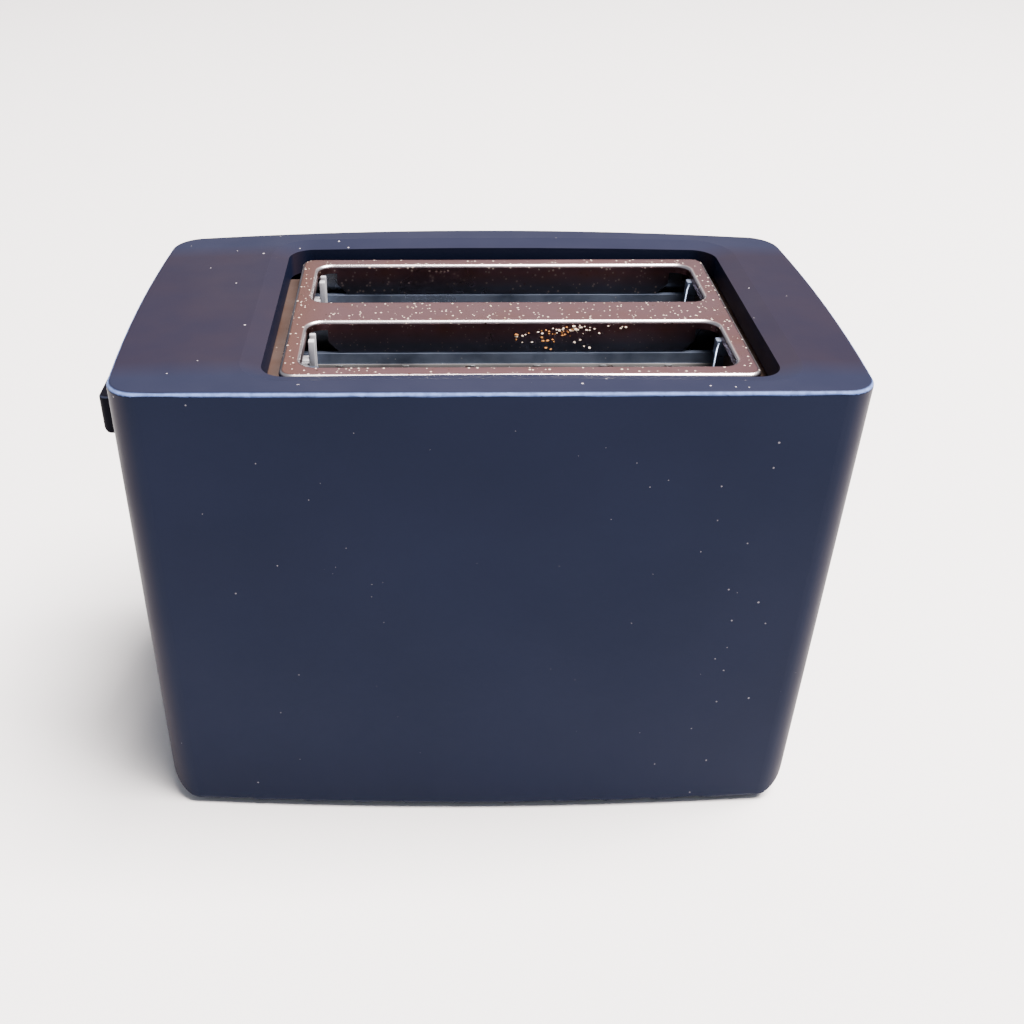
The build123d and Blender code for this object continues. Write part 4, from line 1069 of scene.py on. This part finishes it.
@dataclass
class Crumbs:
    """Crumbs on the front slot's flap, on the top plate and in the tray."""

    seed: int = 7
    flap_count: int = 70
    plate_count: int = 26
    tray_count: int = 90

    def build(self) -> None:
        """Build the crumbs in their three places."""
        chance = random.Random(self.seed)
        plate_low, plate_high = corners_mm("top_plate")
        top = plate_high[2]
        card_low, card_high = corners_mm("heater_card_front_inner")
        flap_y = (card_low[1] + card_high[1]) / 2 - 0.65
        self.on_flap(chance, top, flap_y)
        self.on_plate(chance, plate_low, plate_high)
        self.in_tray(chance)

    def crumb(self, name: str, size: float, chance: random.Random) -> bpy.types.Object:
        """Model one crumb, a lump with a rough outline.

        Args:
            name: The crumb's name.
            size: About how wide it is, in millimetres.
            chance: Where its shape comes from.

        Returns:
            The crumb, with its middle at the origin.
        """
        bpy.ops.object.select_all(action="DESELECT")
        bpy.ops.mesh.primitive_ico_sphere_add(subdivisions=2, radius=size / 2 * MM, location=(0, 0, 0))
        piece = bpy.context.object
        piece.name = name
        bpy.ops.object.mode_set(mode="EDIT")
        bpy.ops.mesh.select_all(action="SELECT")
        bpy.ops.transform.vertex_random(offset=size * 0.16 * MM, uniform=0.4, seed=chance.randrange(999))
        bpy.ops.mesh.normals_make_consistent(inside=False)
        bpy.ops.object.mode_set(mode="OBJECT")
        bpy.ops.object.shade_smooth_by_angle(angle=math.radians(35))
        return piece

    def scatter(
        self,
        name: str,
        spots: list[tuple[Point, float]],
        chance: random.Random,
        finish: Finish,
        body: str,
    ) -> None:
        """Copy a few crumbs to many places.

        Args:
            name: Name of the joined crumbs.
            spots: Place and size of each crumb, in millimetres.
            chance: Where their shapes and turns come from.
            finish: What they are made of.
            body: The body they ride on.
        """
        kinds = [self.crumb(f"crumb_{number}", 1.0, chance) for number in range(4)]
        pieces = []
        for number, (spot, size) in enumerate(spots):
            turn = Matrix.Rotation(chance.uniform(0, math.tau), 4, "Z")
            wide, tall = chance.uniform(0.7, 1.4), chance.uniform(0.5, 0.8)
            shape = Matrix.Diagonal((size * wide, size, size * tall, 1.0))
            move = Matrix.Translation([c * MM for c in spot]) @ turn @ shape
            pieces.append(copy_piece(kinds[number % 4], f"{name}_{number}", move))
        for kind in kinds:
            bpy.data.objects.remove(kind)
        place_piece(join_pieces(pieces, name), finish, body)

    def on_flap(self, chance: random.Random, top: float, flap_y: float) -> None:
        """Stick crumbs to the rear flap of the front slot, right of its middle.

        Args:
            chance: Where their places come from.
            top: Z of the top plate.
            flap_y: Y of the flap's face.
        """
        toasted, pale = [], []
        for _ in range(self.flap_count):
            x = chance.gauss(38.0, 8.0)
            z = top - 1.8 - abs(chance.gauss(0.0, 3.2)) - max(0.0, 42.0 - x) * 0.10
            spot = (min(max(x, 20.0), 66.0), flap_y - 0.05, max(z, top - 11.0))
            target = toasted if x < 40 and chance.random() < 0.7 else pale
            target.append((spot, chance.uniform(0.35, 1.1)))
        self.scatter("flap_toast_crumbs", toasted, chance, TOAST, "body")
        self.scatter("flap_pale_crumbs", pale, chance, PALE_CRUMB, "body")

    def on_plate(self, chance: random.Random, low: Point, high: Point) -> None:
        """Drop small crumbs on the divider and the left rim of the top plate.

        Args:
            chance: Where their places come from.
            low: Lowest corner of the top plate.
            high: Its highest corner.
        """
        spots = []
        for number in range(self.plate_count):
            x, y = chance.uniform(low[0] + 4, high[0] - 6), chance.uniform(-7.0, 7.0)
            if number % 4 == 0:
                x, y = low[0] + chance.uniform(2.5, 5.0), chance.uniform(low[1] + 6, high[1] - 6)
            spots.append(((x, y, high[2] + 0.1), chance.uniform(0.25, 0.6)))
        self.scatter("plate_crumbs", spots, chance, PALE_CRUMB, "body")

    def in_tray(self, chance: random.Random) -> None:
        """Let crumbs lie in the tray.

        Args:
            chance: Where their places come from.
        """
        low, high = corners_mm("crumb_tray")
        floor = low[2] + 0.8
        spots = []
        for _ in range(self.tray_count):
            x = chance.uniform(low[0] + 8, high[0] - 8)
            y = math.copysign(min(abs(chance.gauss(26.0, 9.0)), high[1] - 3), chance.uniform(-1, 1))
            size = chance.uniform(0.6, 2.4)
            spots.append(((x, y, floor + size * 0.25), size))
        self.scatter("tray_crumbs", spots, chance, TOAST, "crumb_drawer")


@dataclass
class Underside:
    """Dark crosses on the screw heads, painted shade for their recesses, and a blank rating plate."""

    screw_inset: float = 3.2  # from the screws' outer edges to their middles
    arm_half: float = 1.9
    arm_width: float = 0.7
    plate_low: tuple[float, float] = (-22, 47.6)
    plate_high: tuple[float, float] = (26, 61)

    def build(self) -> None:
        """Build the painted-shade crosses and the plate."""
        low, high = corners_mm("housing_screws")
        xs = (low[0] + self.screw_inset, high[0] - self.screw_inset)
        ys = (low[1] + self.screw_inset, high[1] - self.screw_inset)
        self.cross_heads(xs, ys, low[2])
        base_low, _ = corners_mm("base_plate")
        start, stop = (*self.plate_low, base_low[2] - 0.35), (*self.plate_high, base_low[2] + 0.1)
        plate = add_block("rating_plate", start, stop, 0.15)
        place_piece(plate, ZINC_PLATE, "body")

    def cross_heads(self, xs: tuple[float, float], ys: tuple[float, float], seat: float) -> None:
        """Build a dark cross on each housing screw, painted shade standing in for its recess.

        Args:
            xs: X of the two columns of screws.
            ys: Y of the two rows.
            seat: Z of the underside of the heads.
        """
        pieces = []
        arms = ((self.arm_half, self.arm_width / 2), (self.arm_width / 2, self.arm_half))
        for x, y, (dx, dy) in product(xs, ys, arms):
            start, stop = (x - dx, y - dy, seat - 0.06), (x + dx, y + dy, seat + 0.3)
            pieces.append(add_block("arm", start, stop, 0.05))
        place_piece(join_pieces(pieces, "screw_cross_shade"), RECESS_SHADE, "body")


@dataclass
class BoardParts:
    """Components on the control board."""

    leg_count: int = 5
    leg_pitch: float = 2.0
    resistor_count: int = 2
    resistor_pitch: float = 3.0

    def build(self) -> None:
        """Build a chip with its legs, two capacitors and the resistors."""
        low, high = corners_mm("control_board")
        face = high[0]
        y, z = (low[1] + high[1]) / 2, (low[2] + high[2]) / 2
        chip = add_block("timer_chip", (face - 0.1, y - 12, z + 6), (face + 2.2, y - 2, z + 12), 0.3)
        place_piece(chip, EPOXY_CASE, "body")
        legs = []
        for number in range(self.leg_count):
            leg_y = y - 11 + number * self.leg_pitch
            start, stop = (face - 0.1, leg_y, z + 4.8), (face + 1.0, leg_y + 0.6, z + 13.2)
            legs.append(add_block("leg", start, stop, 0.1))
        place_piece(join_pieces(legs, "timer_chip_legs"), SOLDER, "body")
        film = add_block("film_capacitor", (face - 0.1, y + 6, z + 2), (face + 5.0, y + 17, z + 9), 1.2, 3)
        place_piece(film, FILM_CASE, "body")
        can = add_disc("can_capacitor", (face + 3.4, y - 18, z + 8), 3.2, 7.0, "X", 0.5)
        place_piece(can, EPOXY_CASE, "body")
        barrels = []
        for number in range(self.resistor_count):
            centre = (face + 1.2, y + 2, z + 3 - self.resistor_pitch * number)
            barrels.append(add_disc("barrel", centre, 1.0, 5.5, "Y", 0.4))
        place_piece(join_pieces(barrels, "resistors"), STEATITE, "body")


@dataclass
class Toaster:
    """Every CAD node of the toaster, dressed."""

    frame: dict

    @property
    def nodes(self) -> dict[str, bpy.types.Object]:
        """The CAD nodes, by name."""
        return self.frame["nodes"]

    def start_with(self, prefix: str) -> list[str]:
        """Names of the nodes that start with a word."""
        return [name for name in self.nodes if name.startswith(prefix)]

    def build(self) -> None:
        """Dress every CAD node."""
        dress(self.nodes, ["housing", "tray_handle"], SHELL_ABS)
        dress(self.nodes, ["lever_knob", "browning_knob"], LEVER_ABS)
        dress(self.nodes, [n for n in self.nodes if n.endswith("_button")], LEVER_ABS)
        low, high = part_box("top_plate")
        plate = HeatTintedSteel(
            "heat_tinted_stainless", "7A595E", 0.3, 1.0, 0.5, 0.2, left_x=low[0], top_z=high[2]
        )
        dress(self.nodes, ["top_plate"], plate)
        sheets = ["lower_bracket", "upper_bracket", "carriage_plate", "lever_arm"]
        dress(self.nodes, sheets + self.start_with("end_plate"), CHASSIS_STEEL)
        dress(self.nodes, ["upper_channels", "lower_channels"], CHANNEL_STEEL)
        dress(self.nodes, ["centre_reflector", "crumb_tray"] + self.start_with("reflector"), REFLECTOR_STEEL)
        dress(self.nodes, self.start_with("bread_"), WIRE_STEEL)
        dress(self.nodes, self.start_with("heater_card"), MICA_SHEET)
        dress(self.nodes, self.start_with("heater_ribbon"), NICHROME)
        mouldings = ["carriage_slide", "base_plate", "button_frame", "main_switch", "terminal_block"]
        dress(self.nodes, mouldings + ["cord_bush", "button_switches", "dial_body"], BLACK_NYLON)
        dress(self.nodes, self.start_with("foot_"), RUBBER)
        dress(self.nodes, ["control_board"], LAMINATE)
        dress(self.nodes, ["magnet_core", "keeper"], CORE_IRON)
        dress(self.nodes, ["magnet_coil"], COIL_WIRE)
        dress(self.nodes, ["dial_shaft"] + self.start_with("guide_rod"), GROUND_STEEL)
        dress(self.nodes, self.start_with("carriage_spring"), SPRING_STEEL)
        dress(self.nodes, ["chassis_screws", "housing_screws"], ZINC_PLATE)


def main() -> None:
    """Load the frame and build everything on it."""
    logging.basicConfig(level=logging.INFO, format="%(name)s: %(message)s")
    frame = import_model()
    Toaster(frame).build()
    WellFittings().build()
    ControlMarks().build()
    Crumbs().build()
    Underside().build()
    BoardParts().build()
    Studio(Vector((0.0, 0.0, 0.09))).build()


if __name__ == "__main__":
    main()
